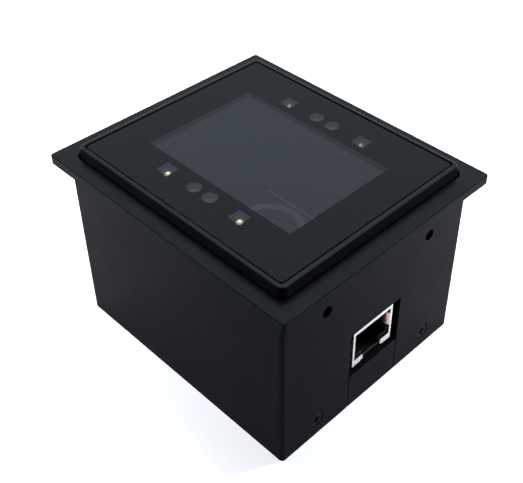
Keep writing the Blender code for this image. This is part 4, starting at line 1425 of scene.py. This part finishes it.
@dataclass
class Housing:
    """The box body with its flange, and the threads of its bracket holes."""

    edge: float = 0.00018
    flange_edge: float = 0.00060
    flange_corner: float = 0.0008
    wall_y: float = 0.0359
    bracket_x: float = 0.0174
    bracket_level: float = 0.0393
    hole_radius: float = 0.0015
    thread_start: float = 0.0006
    thread_turns: float = 7.0
    thread_pitch: float = 0.0005
    thread_ridge: float = 0.00018
    opening: Pair = (0.0299, 0.0349)
    opening_corner: float = 0.0023
    bead: tuple[Pair, ...] = (
        (0.00002, -0.00010), (0.00002, 0.00004), (0.00005, 0.00007), (0.00010, 0.00007), (0.00018, 0.0),
        (0.00018, -0.00010),
    )

    def build(self) -> None:
        """Makes the housing, the bead round its opening and the threads in its walls."""
        _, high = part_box("main_housing")

        def on_flange_edge(edge: bmesh.types.BMEdge) -> bool:
            """True on the flange's outer top edge."""
            ends = [vertex.co for vertex in edge.verts]
            return all(p.z > high.z - MERGE_DISTANCE and inset(p, high, self.flange_corner) < ON_OUTLINE for p in ends)

        shape = Solid.copy_of("main_housing").round_off(self.flange_edge, 5, on_flange_edge)
        Part.of("housing_shell", shape).soften(self.edge).dress(BODY_PLASTIC, "body_plastic", "main_housing")
        bead = Solid().frame(self.opening, self.opening_corner, [(out, high.z + level) for out, level in self.bead])
        Part.of("flange_bead", bead).smooth().dress(BODY_PLASTIC, "body_plastic")
        mouth = self.wall_y - self.thread_start
        places = [Vector((x * self.bracket_x, y * mouth, self.bracket_level)) for y in SIDES for x in SIDES]
        turns = [facing.turn() for facing in (Facing.BACK, Facing.FRONT) for _ in SIDES]
        thread = ThreadPattern(
            "bracket_thread", BODY_PLASTIC, self.hole_radius, self.thread_pitch, self.thread_turns, self.thread_ridge
        )
        thread.grow("bracket_hole_threads", places, turns).smooth().dress(BODY_PLASTIC, "body_plastic")


@dataclass
class FrontBezel:
    """The raised frame round the glass."""

    corner: float = 0.0020
    outer_round: float = 0.00030
    draft: float = 0.00058
    edge: float = 0.00010

    def build(self) -> None:
        """Makes the bezel with drawn-in sides and a round on its outer rim, and its screws."""
        _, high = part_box("front_bezel")

        def on_top(point: Vector, reach: float) -> bool:
            """True on the top, no further from the outline than the reach."""
            return point.z > high.z - MERGE_DISTANCE and inset(point, high, self.corner) < reach

        shape = Solid.copy_of("front_bezel")
        for vertex in shape.grid.verts:
            point = vertex.co
            if on_top(point, ON_OUTLINE):
                way = Vector([math.copysign(max(abs(point[n]) - high[n] + self.corner, 0.0), point[n]) for n in (0, 1)])
                vertex.co.xy -= way.normalized() * self.draft
        reach = self.draft + ON_OUTLINE
        shape.round_off(self.outer_round, 5, lambda edge: all(on_top(vertex.co, reach) for vertex in edge.verts))
        Part.of("bezel_frame", shape).soften(self.edge).dress(BEZEL_PLASTIC, "bezel_plastic", "front_bezel")
        ScrewSet("bezel_screws", group("bezel_screw", 4), SCREW_BLACK, [Facing.DOWN] * 4, length=0.0075).build()


@dataclass
class FrontGlass:
    """The glass plate, the black print on it with its clear spots, and the foam under it."""

    arris: float = 0.00006
    ink: float = 0.00003
    corner: float = 0.0008
    window: Pair = (0.0162, 0.02345)
    window_corner: float = 0.0002
    lamp_spot: Pair = (0.0018, 0.001875)
    lamp_spot_corner: float = 0.00025
    round_spot: float = 0.00185
    glare_spot: float = 0.00080
    glare_share: float = 0.69
    foam_edge: float = 0.00006
    gasket: Pair = (0.01675, 0.0240)
    gasket_low: float = 0.0497
    gasket_wide: float = 0.0009
    gasket_gap: float = MERGE_DISTANCE * 10
    gasket_edge: float = 0.00005

    def opening(self, node: str, low: float, high: float) -> Solid:
        """The clear spot over a node.

        Args:
            node: the lamp or round part under the spot.
            low: the tool's lower level.
            high: its upper level.

        Returns:
            The tool that clears the ink there.
        """
        middle = node_middle(node)
        if node.startswith("white_lamp"):
            tool = Solid().slab(self.lamp_spot, self.lamp_spot_corner, low, high)
        else:
            tool = Solid().lathe([(self.round_spot, low), (self.round_spot, high)], segments=40)
        return tool.at(middle.x, middle.y)

    def build(self) -> None:
        """Makes the plate, its print and its foam."""
        low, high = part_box("front_glass")
        top = high.z - self.ink
        plate = Solid().slab(high.xy, self.corner, low.z, top)
        Part.of("glass_plate", plate).soften(self.arris).dress(FRONT_GLASS, "printed_glass", "front_glass")
        half = (high.x - self.arris, high.y - self.arris)
        ink = Part.of("glass_print", Solid().slab(half, self.corner - self.arris, top - self.ink / 2, high.z))
        under, over = low.z, high.z + OVERRUN
        ink.combine(Solid().slab(self.window, self.window_corner, under, over))
        for node in LampBoard.UNDER_SPOTS:
            ink.combine(self.opening(node, under, over))
        for node in LampBoard.UNDER_SPOTS[:2]:
            corner = node_middle(node).xy - Vector(self.lamp_spot) * self.glare_share
            glare = Solid().lathe([(self.glare_spot, under), (self.glare_spot, over)], segments=28)
            ink.combine(glare.at(*corner))
        ink.dress(PRINT_BLACK, "printed_glass")
        plain("foam_frame", "glass_seal", SEAL_FOAM, "seal_foam", self.foam_edge, segments=1)
        profile = bar(0.0, self.gasket_wide, self.gasket_low, low.z - self.gasket_gap)
        gasket = Part.of("window_gasket", Solid().frame(self.gasket, self.window_corner, profile))
        gasket.soften(self.gasket_edge, segments=1).dress(SEAL_FOAM, "seal_foam")


@dataclass
class BottomCover:
    """The plate that closes the body, with its pin marks and its flush screws."""

    edge: float = 0.00014
    mark_radius: float = 0.0016
    mark_depth: float = 0.00008
    mark_place: Pair = (0.020, 0.021)
    gate_radius: float = 0.0009

    def build(self) -> None:
        """Makes the cover and its screws."""
        low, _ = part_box("bottom_cover")
        cover = Part.copy_of("cover_plate", "bottom_cover")
        east, north = self.mark_place
        marks = [(x * east, y * north, self.mark_radius) for y in SIDES for x in SIDES]
        for x, y, radius in (*marks, (0.0, 0.0, self.gate_radius)):
            profile = [(radius, low.z - OVERRUN), (radius, low.z + self.mark_depth)]
            cover.combine(Solid().lathe(profile, segments=28).at(x, y))
        cover.soften(self.edge).dress(BODY_PLASTIC, "body_plastic", "bottom_cover")
        nodes = group("cover_screw", 4)
        facings = [Facing.FRONT if node_middle(node).y < 0 else Facing.BACK for node in nodes]
        ScrewSet(
            "cover_screws", nodes, SCREW_BLACK, facings, length=0.0049, head=0.0021, head_height=0.0011,
            recess=0.0011, countersunk=True,
        ).build()


@dataclass
class SmallParts:
    """Chip capacitors and resistors on a board: bodies with tinned ends. Their places are in millimetres."""

    name: str
    finish: Finish
    slot: str
    level: float
    facing: Facing
    places: Iterable[tuple[float, float, bool]]
    length: float = 0.0016
    width: float = 0.0008
    height: float = 0.00045
    cap: float = 0.00032
    swell: float = 0.00003
    body_edge: float = 0.00004
    cap_edge: float = 0.00005

    def build(self) -> None:
        """Places the bodies and their ends."""
        spots = [Vector((x / MILLIMETRES, y / MILLIMETRES, self.level)) for x, y, _ in self.places]
        turns = [Vector((self.facing.value, 0, QUARTER_TURN if across else 0)) for *_, across in self.places]
        half = (self.length / 2 - self.cap / 2, self.width / 2)
        body = Part.of("chip_original", Solid().block((-half[0], -half[1], self.swell), (*half, self.height)))
        copies(f"{self.name}_bodies", body.soften(self.body_edge, segments=1), self.finish, self.slot, spots, turns)
        ends = Solid()
        for side in SIDES:
            near, far = span(side, self.length / 2 - self.cap, self.length / 2)
            ends.block((near, -half[1] - self.swell, 0), (far, half[1] + self.swell, self.height + self.swell))
        tinned = Part.of("ends_original", ends).soften(self.cap_edge, segments=1)
        copies(f"{self.name}_ends", tinned, SOLDER_TIN, "socket_metal", spots, turns)


@dataclass
class LampBoard:
    """The green board under the bezel with its lamps and round parts."""

    UNDER_SPOTS: ClassVar[tuple[str, ...]] = (
        *group("white_lamp", 4), "presence_emitter", "presence_receiver", *group("aiming_lamp", 2),
    )
    edge: float = 0.00004
    package_corner: float = 0.0002
    cup: float = 0.00112
    cup_flare: float = 1.15
    cup_rise: float = 0.5
    cup_floor: float = 0.00086
    cup_depth: float = 0.00036
    notch: float = 0.0005
    notch_depth: float = 0.0002
    lens_radius: float = 0.00090
    lens_shoulder: float = 0.00145
    lens_top: float = 0.00195
    warm_shift: float = 0.00035
    pale_shift: float = 0.00065
    pale_share: float = 0.55
    core_radius: float = 0.00066
    core_foot: float = 0.00150
    core_top: float = 0.00208
    dome_base: float = 0.0017
    dome_foot: float = 0.0003
    dome_radius: float = 0.0015
    dome_shoulder: float = 0.0007
    resistor_x: float = 23.6
    resistor_y: tuple[float, ...] = (-25.0, -14.5, 11.5, 14.0, 25.0)
    capacitor_x: tuple[float, ...] = (-14, -10.5, -3.5, 3.5, 10.5, 14)
    capacitor_y: float = 30.2

    def lamps(self) -> None:
        """Makes the lamp packages and the glow in their cups."""
        nodes = group("white_lamp", 4)
        low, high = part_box(nodes[0])
        size = high - low
        slab = Solid().slab((size.x / 2, size.y / 2), self.package_corner, 0.0, size.z, steps=3)
        package = Part.of("lamp_original", slab)
        rim = (self.cup * self.cup_flare, size.z + self.cup_depth * self.cup_rise)
        package.combine(Solid().lathe([(self.cup_floor, size.z - self.cup_depth), rim], segments=28))
        notch = (size.x / 2 - self.notch, size.y / 2 - self.notch, size.z - self.notch_depth)
        package.combine(Solid().block(notch, (size.x, size.y, size.z + OVERRUN))).soften(self.edge, segments=1)
        feet = [node_foot(node) for node in nodes]
        copies("lamp_packages", package, LAMP_RESIN, "lamp_white", feet, nodes=nodes)
        for name, skin, core, places, shift, share in (
            ("warm_lens", WARM_PHOSPHOR, WARM_CORE, feet[:2], self.warm_shift, 1.0),
            ("pale_lens", PALE_PHOSPHOR, PALE_CORE, feet[2:], self.pale_shift, self.pale_share),
        ):
            seats = [place + Vector((shift, shift, 0)) for place in places]
            wide = self.lens_radius * share
            lens = [(wide, size.z - self.cup_depth), *crown(wide, self.lens_shoulder, self.lens_top)]
            heart = crown(self.core_radius * share, self.core_foot, self.core_top)
            for stem, finish, profile in ((name, skin, lens), (f"{name}_core", core, heart)):
                shape = Part.of("lens_original", Solid().lathe(profile, segments=28)).smooth()
                copies(stem, shape, finish, "lamp_white", seats)

    def domes(self) -> None:
        """Makes the four round parts between the lamps."""
        nodes = self.UNDER_SPOTS[4:]
        low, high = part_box(nodes[0])
        profile = [(self.dome_base, 0.0), (self.dome_base, self.dome_foot), (self.dome_radius, self.dome_foot)]
        profile += crown(self.dome_radius, self.dome_shoulder, high.z - low.z)
        dome = Part.of("dome_original", Solid().lathe(profile, segments=36)).smooth()
        copies("round_parts", dome, DOME_RESIN, "clear_lens", [node_foot(node) for node in nodes], nodes=nodes)

    def build(self) -> None:
        """Makes the board and all that it carries."""
        low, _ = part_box("illumination_board")
        plain("lamp_board_plate", "illumination_board", BOARD_GREEN, "board_green", self.edge, segments=1)
        self.lamps()
        self.domes()
        spots = [(side * self.resistor_x, y, True) for side in SIDES for y in self.resistor_y]
        SmallParts("lamp_resistors", CHIP_RESIN, "chip_black", low.z, Facing.DOWN, spots).build()
        spots = [(x, side * self.capacitor_y, False) for side in SIDES for x in self.capacitor_x]
        SmallParts("lamp_capacitors", CERAMIC, "connector_cream", low.z, Facing.DOWN, spots).build()
        ScrewSet(
            "lamp_board_screws", group("illumination_board_screw", 4), SCREW_BLACK, [Facing.DOWN] * 4,
            length=0.0024, shank=0.00075, head=0.0025, head_height=0.0012, ridge=0.00016, pitch=0.00045,
        ).build()


@dataclass
class LightShroud:
    """The black funnel from the window down to the camera, with a ledge low on its long walls whose light grey is a
    painted highlight line.
    """
    edge: float = 0.00012
    ledge_x: float = 0.01159
    ledge_level: float = 0.02867
    ledge_reach: float = 0.0118
    ledge_out: float = 0.00045
    ledge_height: float = 0.00030
    ledge_edge: float = 0.00008

    def build(self) -> None:
        """Makes the funnel and its ledges."""
        plain("shroud_funnel", "light_shroud", SHROUD_PLASTIC, "matte_black", self.edge)
        ledges = Solid()
        for side in SIDES:
            near, far = span(side, self.ledge_x - self.ledge_out, self.ledge_x + self.ledge_out)
            low = self.ledge_level - self.ledge_height
            ledges.block((near, -self.ledge_reach, low), (far, self.ledge_reach, self.ledge_level))
        Part.of("shroud_ledges", ledges).soften(self.ledge_edge).dress(LEDGE_HIGHLIGHT_PLASTIC, "lamp_white")


@dataclass
class Camera:
    """The camera block with its sensor, and the lens barrel that turns in it to focus."""

    edge: float = 0.00014
    sensor_edge: float = 0.00005
    barrel_edge: float = 0.00010
    barrel_pitch: float = 0.0005
    barrel_ridge: float = 0.00020
    thread_radius: float = 0.0060
    thread_low: float = 0.0166
    thread_high: float = 0.0236
    hood_inner: float = 0.0078
    hood_outer: float = 0.0098
    hood_low: float = 0.0238
    hood_top: float = 0.0292
    hood_edge: float = 0.00018

    def build(self) -> None:
        """Makes the block, its hood ring, the sensor, the barrel and the lens."""
        plain("camera_body", "camera_block", CAMERA_PLASTIC, "body_plastic", self.edge)
        # The hood ring is dressed light grey as a painted highlight round the lens.
        tube = bar(self.hood_inner, self.hood_outer, self.hood_low, self.hood_top)
        hood = Part.of("camera_hood", Solid().lathe(tube, segments=72, ring=True))
        hood.soften(self.hood_edge, segments=3).dress(HOOD_HIGHLIGHT_PLASTIC, "body_plastic")
        plain("sensor_chip", "image_sensor", SENSOR_FACE, "chip_black", self.sensor_edge, segments=1)
        ScrewSet(
            "camera_screws", group("camera_screw", 2), SCREW_BLACK, [Facing.DOWN] * 2, length=0.0060,
            shank=0.0009, head=0.0018, head_height=0.0013, recess=0.0009, slot_width=0.0005, recess_depth=0.0006,
        ).build()
        plain("barrel_body", "lens_barrel", BARREL_BLACK, "matte_black", self.barrel_edge, body=Body.LENS)
        turns = (self.thread_high - self.thread_low) / self.barrel_pitch
        thread = ThreadPattern(
            "barrel_thread", BARREL_BLACK, self.thread_radius, self.barrel_pitch, turns, self.barrel_ridge
        )
        foot = Vector((0, 0, self.thread_low))
        thread.grow("barrel_threads", [foot]).smooth().dress(BARREL_BLACK, "matte_black", body=Body.LENS)
        Part.copy_of("front_lens", "lens_glass").smooth().dress(LENS_COATED, "clear_lens", "lens_glass", body=Body.LENS)


@dataclass
class ChipPackage:
    """A chip with rows of bent leads on two or four sides."""

    name: str
    node: str
    count: tuple[int, int]
    pitch: float = 0.0005
    lead_width: float = 0.00022
    lead_out: float = 0.0008
    lead_sheet: float = 0.00012
    lead_level: float = 0.00062
    lead_root: float = 0.0001
    lead_bends: Pair = (0.25, 0.5)
    dimple: float = 0.00035
    dimple_depth: float = 0.00006
    edge: float = 0.00007

    def lead(self) -> Part:
        """One lead that leaves the body along +Y and drops to its foot, which lies on the origin's level."""
        out, thick = self.lead_out, self.lead_sheet
        knee, ankle = (out * share for share in self.lead_bends)
        line = [(-self.lead_root, self.lead_level), (knee, self.lead_level), (ankle, 0.0), (out, 0.0)]
        outline = line + [(y, z + thick) for y, z in reversed(line)]
        sides = [[Vector((side * self.lead_width / 2, y, z)) for y, z in outline] for side in SIDES]
        return Part.of("lead_original", Solid().loft(sides))

    def build(self, board_top: float) -> None:
        """Makes the chip and its leads.

        Args:
            board_top: the level that the leads stand on.
        """
        low, high, middle = node_spans(self.node)
        body = Part.copy_of(self.name, self.node)
        mark = Solid().lathe([(self.dimple, -self.dimple_depth), (self.dimple, OVERRUN)], segments=16)
        body.combine(mark.at(low.x + self.dimple * 3, high.y - self.dimple * 3, high.z))
        body.soften(self.edge).dress(CHIP_RESIN, "chip_black", self.node)
        half = (high - low) / 2
        rows = (
            (self.count[0], ((0, half.y, 0.0), (0, -half.y, math.pi))),
            (self.count[1], ((half.x, 0, -QUARTER_TURN), (-half.x, 0, QUARTER_TURN))),
        )
        for number, (count, sides) in enumerate(rows, start=1):
            if count:
                places = [Vector((middle.x + x, middle.y + y, board_top)) for x, y, _ in sides]
                turns = [Vector((0, 0, turn)) for *_, turn in sides]
                stem = f"{self.name}_leads_{number}"
                leads = RowPattern(stem, SOLDER_TIN, self.lead(), count, self.pitch)
                leads.grow(stem, places, turns).dress(SOLDER_TIN, "socket_metal")


@dataclass
class Coil:
    """The shielded inductor: a ferrite block with a ring on its face and tinned ends."""

    ring_inner: float = 0.0019
    ring_outer: float = 0.0023
    ring_depth: float = 0.00018
    edge: float = 0.00015
    end_from: float = 0.0022
    end_to: float = 0.0031
    end_half: float = 0.0011
    end_below: float = 0.0003
    end_above: float = 0.0004
    end_edge: float = 0.00006

    def build(self) -> None:
        """Makes the block and its ends."""
        low, high, middle = node_spans("power_inductor")
        body = Part.copy_of("inductor_block", "power_inductor")
        low_level, high_level = -self.ring_depth, OVERRUN
        ring = [(self.ring_inner, low_level), (self.ring_inner, high_level)]
        ring += [(self.ring_outer, high_level), (self.ring_outer, low_level)]
        body.combine(Solid().lathe(ring, segments=36, ring=True).at(middle.x, middle.y, high.z))
        body.soften(self.edge).dress(FERRITE, "chip_black", "power_inductor")
        ends = Solid()
        for side in SIDES:
            near, far = sorted((middle.x + side * self.end_from, middle.x + side * self.end_to))
            foot = (near, middle.y - self.end_half, low.z - self.end_below)
            ends.block(foot, (far, middle.y + self.end_half, low.z + self.end_above))
        Part.of("inductor_ends", ends).soften(self.end_edge, segments=1).dress(SOLDER_TIN, "socket_metal")


@dataclass
class Sounder:
    """The beeper: a round can with a sound hole and a seam."""

    hole: float = 0.0009
    hole_depth: float = 0.0010
    seam_level: float = 0.0011
    seam_depth: float = 0.00012
    seam_height: float = 0.0002
    edge: float = 0.00010

    def build(self) -> None:
        """Makes the can."""
        low, high, middle = node_spans("beeper")
        body = Part.copy_of("beeper_can", "beeper")
        hole = [(self.hole, high.z - self.hole_depth), (self.hole, high.z + OVERRUN)]
        body.combine(Solid().lathe(hole, segments=24).at(middle.x, middle.y))
        radius = (high.x - low.x) / 2
        level = low.z + self.seam_level
        seam = bar(radius - self.seam_depth, radius + OVERRUN, level, level + self.seam_height)
        body.combine(Solid().lathe(seam, segments=48, ring=True).at(middle.x, middle.y))
        body.soften(self.edge, segments=1).dress(CHIP_RESIN, "chip_black", "beeper")


@dataclass
class MainBoard:
    """The board above the cover, with its chips and small parts."""

    edge: float = 0.00005
    via_radius: float = 0.00024
    via_rim: float = 0.00007
    via_apart: float = 0.0026
    via_seed: int = 7
    resistors: tuple[tuple[float, float, bool], ...] = (
        (11.4, 15.0, True), (11.4, 17.4, True), (11.4, 19.8, True), (13.4, 23.4, False), (16.0, 23.4, False),
        (18.6, 23.4, False), (-20.8, -19.0, True), (-20.8, -16.6, True), (-20.8, -14.2, True), (10.4, -24.0, True),
        (10.4, -26.6, True), (-10.4, -24.0, True), (-10.4, -26.6, True), (-22.6, 4.0, True), (-22.6, 0.8, True),
        (2.0, 16.0, False), (5.0, 16.0, False), (-2.0, 20.0, True), (1.0, 24.0, False), (4.0, 24.0, False),
    )
    capacitors: tuple[tuple[float, float, bool], ...] = (
        (13.4, -7.6, False), (16.2, -7.6, False), (19.0, -7.6, False), (13.6, -21.4, False), (16.4, -21.4, False),
        (19.2, -21.4, False), (-11.0, -16.0, True), (-11.0, -18.4, True), (-20.4, -6.6, True), (24.6, 12.0, True),
        (24.6, 15.0, True), (24.6, 18.0, True), (-6.0, 16.4, True), (-6.0, 19.4, True), (-6.0, 22.4, True),
        (7.6, 28.6, False), (10.6, 28.6, False), (-8.4, 28.6, False), (-4.4, 28.6, False), (24.6, -12.0, True),
    )
    crystal_edge: float = 0.00016

    def vias(self, level: float) -> None:
        """Scatters plated holes over the upper face.

        Args:
            level: the level of that face.
        """
        carrier = bmesh.new()
        carrier.from_mesh(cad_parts["main_board"].data)
        others = [
            face for face in carrier.faces if face.normal.z < 0.9 or face.calc_center_median().z < level - OVERRUN
        ]
        bmesh.ops.delete(carrier, geom=others, context="FACES")
        ground = bpy.data.meshes.new("via_ground")
        carrier.to_mesh(ground)
        carrier.free()
        pattern = ViaPattern("board_vias", SOLDER_TIN, self.via_radius, self.via_rim, self.via_apart, self.via_seed)
        pattern.grow_on("board_vias", ground).smooth().dress(SOLDER_TIN, "socket_metal")

    def build(self) -> None:
        """Makes the board and all that it carries."""
        _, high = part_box("main_board")
        plain("main_board_plate", "main_board", BOARD_GREEN, "board_green", self.edge, segments=1)
        self.vias(high.z)
        ScrewSet("main_board_screws", group("main_board_screw", 4), SCREW_STEEL, [Facing.UP] * 4, length=0.0075).build()
        ChipPackage("decoder_package", "decoder_chip", (16, 16)).build(high.z)
        ChipPackage("memory_package", "memory_chip", (14, 0)).build(high.z)
        ChipPackage("interface_package", "interface_chip", (0, 8), pitch=0.00065).build(high.z)
        Coil().build()
        Sounder().build()
        plain("crystal_can", "crystal", SHELL_TIN, "socket_metal", self.crystal_edge)
        for name, finish, slot, spots in (
            ("board_resistors", CHIP_RESIN, "chip_black", self.resistors),
            ("board_capacitors", CERAMIC, "connector_cream", self.capacitors),
        ):
            SmallParts(name, finish, slot, high.z, Facing.UP, spots).build()


@dataclass
class RibbonLink:
    """The flat cable between the boards, its wires and its two connectors."""

    wires: int = 18
    pitch: float = 0.0005
    wire_radius: float = 0.00017
    steps: int = 20
    sheet: float = 0.0003
    end_gap: float = 0.0001
    edge: float = 0.00005
    latch_y: float = 0.0048
    latch_half: Pair = (0.00025, 0.0005)
    latch_share: float = 0.32
    connector_edge: float = 0.00010

    def path(self) -> list[Vector]:
        """The middle line of the bowed cable, from its lower to its upper end."""
        low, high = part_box("ribbon_cable")
        bow = high.x - low.x - self.sheet
        line = []
        for step in range(self.steps + 1):
            share = step / self.steps
            level = low.z + self.end_gap + (high.z - low.z - self.end_gap * 2) * share
            line.append(Vector((high.x - self.sheet / 2 - bow * math.sin(math.pi * share), 0, level)))
        return line

    def build(self) -> None:
        """Makes the cable and its connectors."""
        plain("ribbon_film", "ribbon_cable", RIBBON_WHITE, "ribbon_white", self.edge, segments=1)
        line = bpy.data.meshes.new("ribbon_line")
        path = self.path()
        line.from_pydata([tuple(point) for point in path], [(n, n + 1) for n in range(len(path) - 1)], [])
        wires = ConductorPattern("ribbon_wires", RIBBON_WHITE, self.wires, self.pitch, self.wire_radius)
        wires.grow_on("ribbon_wires", line).smooth().dress(RIBBON_WHITE, "ribbon_white")
        for name, node in (("connector_low", "ribbon_connector_lower"), ("connector_high", "ribbon_connector_upper")):
            low, high, middle = node_spans(node)
            body = Part.copy_of(name, node)
            latch = Vector((*self.latch_half, (high.z - low.z) * self.latch_share))
            for side in SIDES:
                for y in SIDES:
                    at = Vector((middle.x + side * (high.x - low.x) / 2, middle.y + y * self.latch_y, middle.z))
                    body.combine(Solid().block(at - latch, at + latch))
            body.soften(self.connector_edge).dress(NYLON_CREAM, "connector_cream", node)


@dataclass
class NetworkSocket:
    """The tinned shell, the black body in it, its contacts and its ground springs."""

    shell_edge: float = 0.00009
    body_edge: float = 0.00010
    contact_edge: float = 0.00008
    leaf_low: float = 0.0172
    leaf_high: float = 0.0212
    leaf_sheet: float = 0.00018
    leaf_slant: float = 0.3
    leaf_edge: float = 0.00004
    leaf_line: tuple[Pair, ...] = (
        (6.32, 0.02), (6.10, 0.12), (5.80, 0.60), (5.45, 1.70), (5.30, 2.60), (5.42, 3.40), (5.75, 4.20),
    )
    sheet: float = 0.0003
    mouth: float = 0.0063
    mouth_low: float = 0.0150
    tab_in: float = 0.0032
    tab_low: float = 0.0127
    tab_top: float = 0.0143
    lip_depth: float = 0.0022

    def leaf(self, side: int) -> Solid:
        """A spring leaf that bends from the shell's front edge into the mouth.

        Args:
            side: -1 for the left one, 1 for the right one.

        Returns:
            Its shape.
        """
        low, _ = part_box("network_socket_shell")
        inner = [(side * x / MILLIMETRES, low.y + y / MILLIMETRES) for x, y in self.leaf_line]
        outer = [(x + side * self.leaf_sheet, y + self.leaf_sheet * self.leaf_slant) for x, y in inner]
        outline = inner + outer[::-1]
        return Solid().loft([[Vector((x, y, z)) for x, y in outline] for z in (self.leaf_low, self.leaf_high)])

    def build(self) -> None:
        """Makes the socket."""
        low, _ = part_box("network_socket_shell")
        can = Part.copy_of("socket_can", "network_socket_shell")
        lip = (-self.tab_in, low.y - OVERRUN, low.z - OVERRUN)
        can.combine(Solid().block(lip, (self.tab_in, low.y + self.lip_depth, self.mouth_low)))
        for side in SIDES:
            near, far = span(side, self.tab_in, self.mouth)
            can.combine(Solid().block((near, low.y - OVERRUN, self.tab_top), (far, low.y + OVERRUN, self.mouth_low)))
            near, far = span(side, self.tab_in, self.tab_in + OVERRUN * 2)
            tab = Solid().block((near, low.y, self.tab_low), (far, low.y + self.sheet, self.tab_top))
            can.combine(tab, Join.FUSE)
        can.soften(self.shell_edge).dress(SHELL_TIN, "socket_metal", "network_socket_shell")
        plain("socket_insert", "network_socket_body", SOCKET_PLASTIC, "chip_black", self.body_edge)
        for side, name in zip(SIDES, ("ground_spring_left", "ground_spring_right")):
            spring = Part.of(name, self.leaf(side)).soften(self.leaf_edge, segments=1)
            spring.dress(SPRING_BRONZE, "socket_metal")
        nodes = group("network_socket_contact", 8)
        first = node_middle(nodes[0])
        original = Part.copy_of("contact_original", nodes[0]).soften(self.contact_edge)
        places = [node_middle(node) - first for node in nodes]
        copies("socket_contacts", original, CONTACT_GOLD, "contact_gold", places, nodes=nodes)


@dataclass(frozen=True)
class SoftLamp:
    """A square soft lamp that isn't mirrored in the object."""

    name: str
    place: Triple
    size: float
    watts: float
    colour: Colour = (1.0, 1.0, 1.0)

    def hang(self, aim: Vector) -> None:
        """Hangs the lamp so that it looks at a point.

        Args:
            aim: the point.
        """
        light = bpy.data.lights.new(self.name, "AREA")
        light.size = self.size
        light.energy = self.watts
        light.color = self.colour
        body = bpy.data.objects.new(self.name, light)
        body.visible_glossy = False
        body.visible_transmission = False
        turn = (Vector(self.place) - aim).to_track_quat("Z", "Y").to_matrix().to_4x4()
        body.matrix_world = Matrix.Translation(self.place) @ turn
        bpy.context.scene.collection.objects.link(body)


@dataclass
class Studio:
    """The floor, the lamps, the sky and the camera."""

    azimuth: float = -46.247
    elevation: float = 38.711
    roll: float = 0.785
    distance: float = 0.2236
    aim: Triple = (0.00733, 0.00540, 0.03307)
    focal: float = 905.48
    width: float = 523.0
    sensor: float = 36.0
    centre: Pair = (36.4, 43.6)
    nearest: float = 0.005
    floor_half: float = 4.0
    floor_gap: float = 0.0001
    sky: float = 0.36
    sky_colour: Colour = (0.86, 0.97, 1.08)
    side_colour: Colour = (0.90, 0.95, 1.10)

    def camera(self) -> None:
        """Sets the camera at the photograph's place."""
        turn, rise, tilt = (math.radians(angle) for angle in (self.azimuth, self.elevation, self.roll))
        back = Vector((math.sin(turn) * math.cos(rise), -math.cos(turn) * math.cos(rise), math.sin(rise)))
        right = Vector((math.cos(turn), math.sin(turn), 0))
        up = back.cross(right)
        place = Vector((0, 0, self.aim[2])) + right * self.aim[0] + up * self.aim[1] + back * self.distance
        across = right * math.cos(tilt) + up * math.sin(tilt)
        upward = up * math.cos(tilt) - right * math.sin(tilt)
        eye = bpy.data.objects.new("camera", bpy.data.cameras.new("camera"))
        eye.matrix_world = Matrix.Translation(place) @ Matrix((across, upward, back)).transposed().to_4x4()
        eye.data.sensor_width = self.sensor
        eye.data.lens = self.focal * self.sensor / self.width
        eye.data.shift_x = -self.centre[0] / self.width
        eye.data.shift_y = -self.centre[1] / self.width
        eye.data.clip_start = self.nearest
        bpy.context.scene.collection.objects.link(eye)
        bpy.context.scene.camera = eye

    def floor(self) -> None:
        """Lays the floor."""
        half = self.floor_half
        mesh = bpy.data.meshes.new("floor")
        mesh.from_pydata([(-half, -half, 0), (half, -half, 0), (half, half, 0), (-half, half, 0)], [], [(0, 1, 2, 3)])
        mesh.materials.append(FLOOR_PAPER.material())
        plane = bpy.data.objects.new("floor", mesh)
        plane.location.z = CAD_BOX[0][2] - self.floor_gap
        bpy.context.scene.collection.objects.link(plane)

    def sky_light(self) -> None:
        """Fills the room with even light."""
        world = bpy.data.worlds.new("room")
        world.use_nodes = True
        tree = world.node_tree
        tree.nodes.clear()
        light = tree.nodes.new("ShaderNodeBackground")
        light.inputs["Color"].default_value = (*self.sky_colour, 1.0)
        light.inputs["Strength"].default_value = self.sky
        output = tree.nodes.new("ShaderNodeOutputWorld")
        tree.links.new(light.outputs[0], output.inputs[0])
        bpy.context.scene.world = world

    def build(self) -> None:
        """Sets up the studio."""
        bpy.context.scene.view_settings.view_transform = "Standard"
        self.camera()
        self.floor()
        self.sky_light()
        lamps = (
            SoftLamp("lamp_behind", (0.22, 0.22, 0.82), size=0.34, watts=7.0),
            SoftLamp("lamp_left", (-0.12, 0.18, 0.09), size=0.10, watts=0.99, colour=self.side_colour),
            SoftLamp("lamp_right", (0.20, -0.12, 0.085), size=0.10, watts=1.57, colour=self.side_colour),
        )
        for lamp in lamps:
            lamp.hang(Vector((0, 0, self.aim[2])))
        LOG.info("studio: camera, floor, sky and %d lamps", len(lamps))


def main() -> None:
    """Builds the whole scanner and the studio round it."""
    logging.basicConfig(level=logging.INFO, format="%(name)s %(message)s")
    Studio().build()
    for assembly in (
        Housing(), FrontBezel(), FrontGlass(), BottomCover(), LampBoard(), LightShroud(), Camera(), MainBoard(),
        RibbonLink(), NetworkSocket(),
    ):
        LOG.info("building %s", type(assembly).__name__)
        assembly.build()


if __name__ == "__main__":
    main()
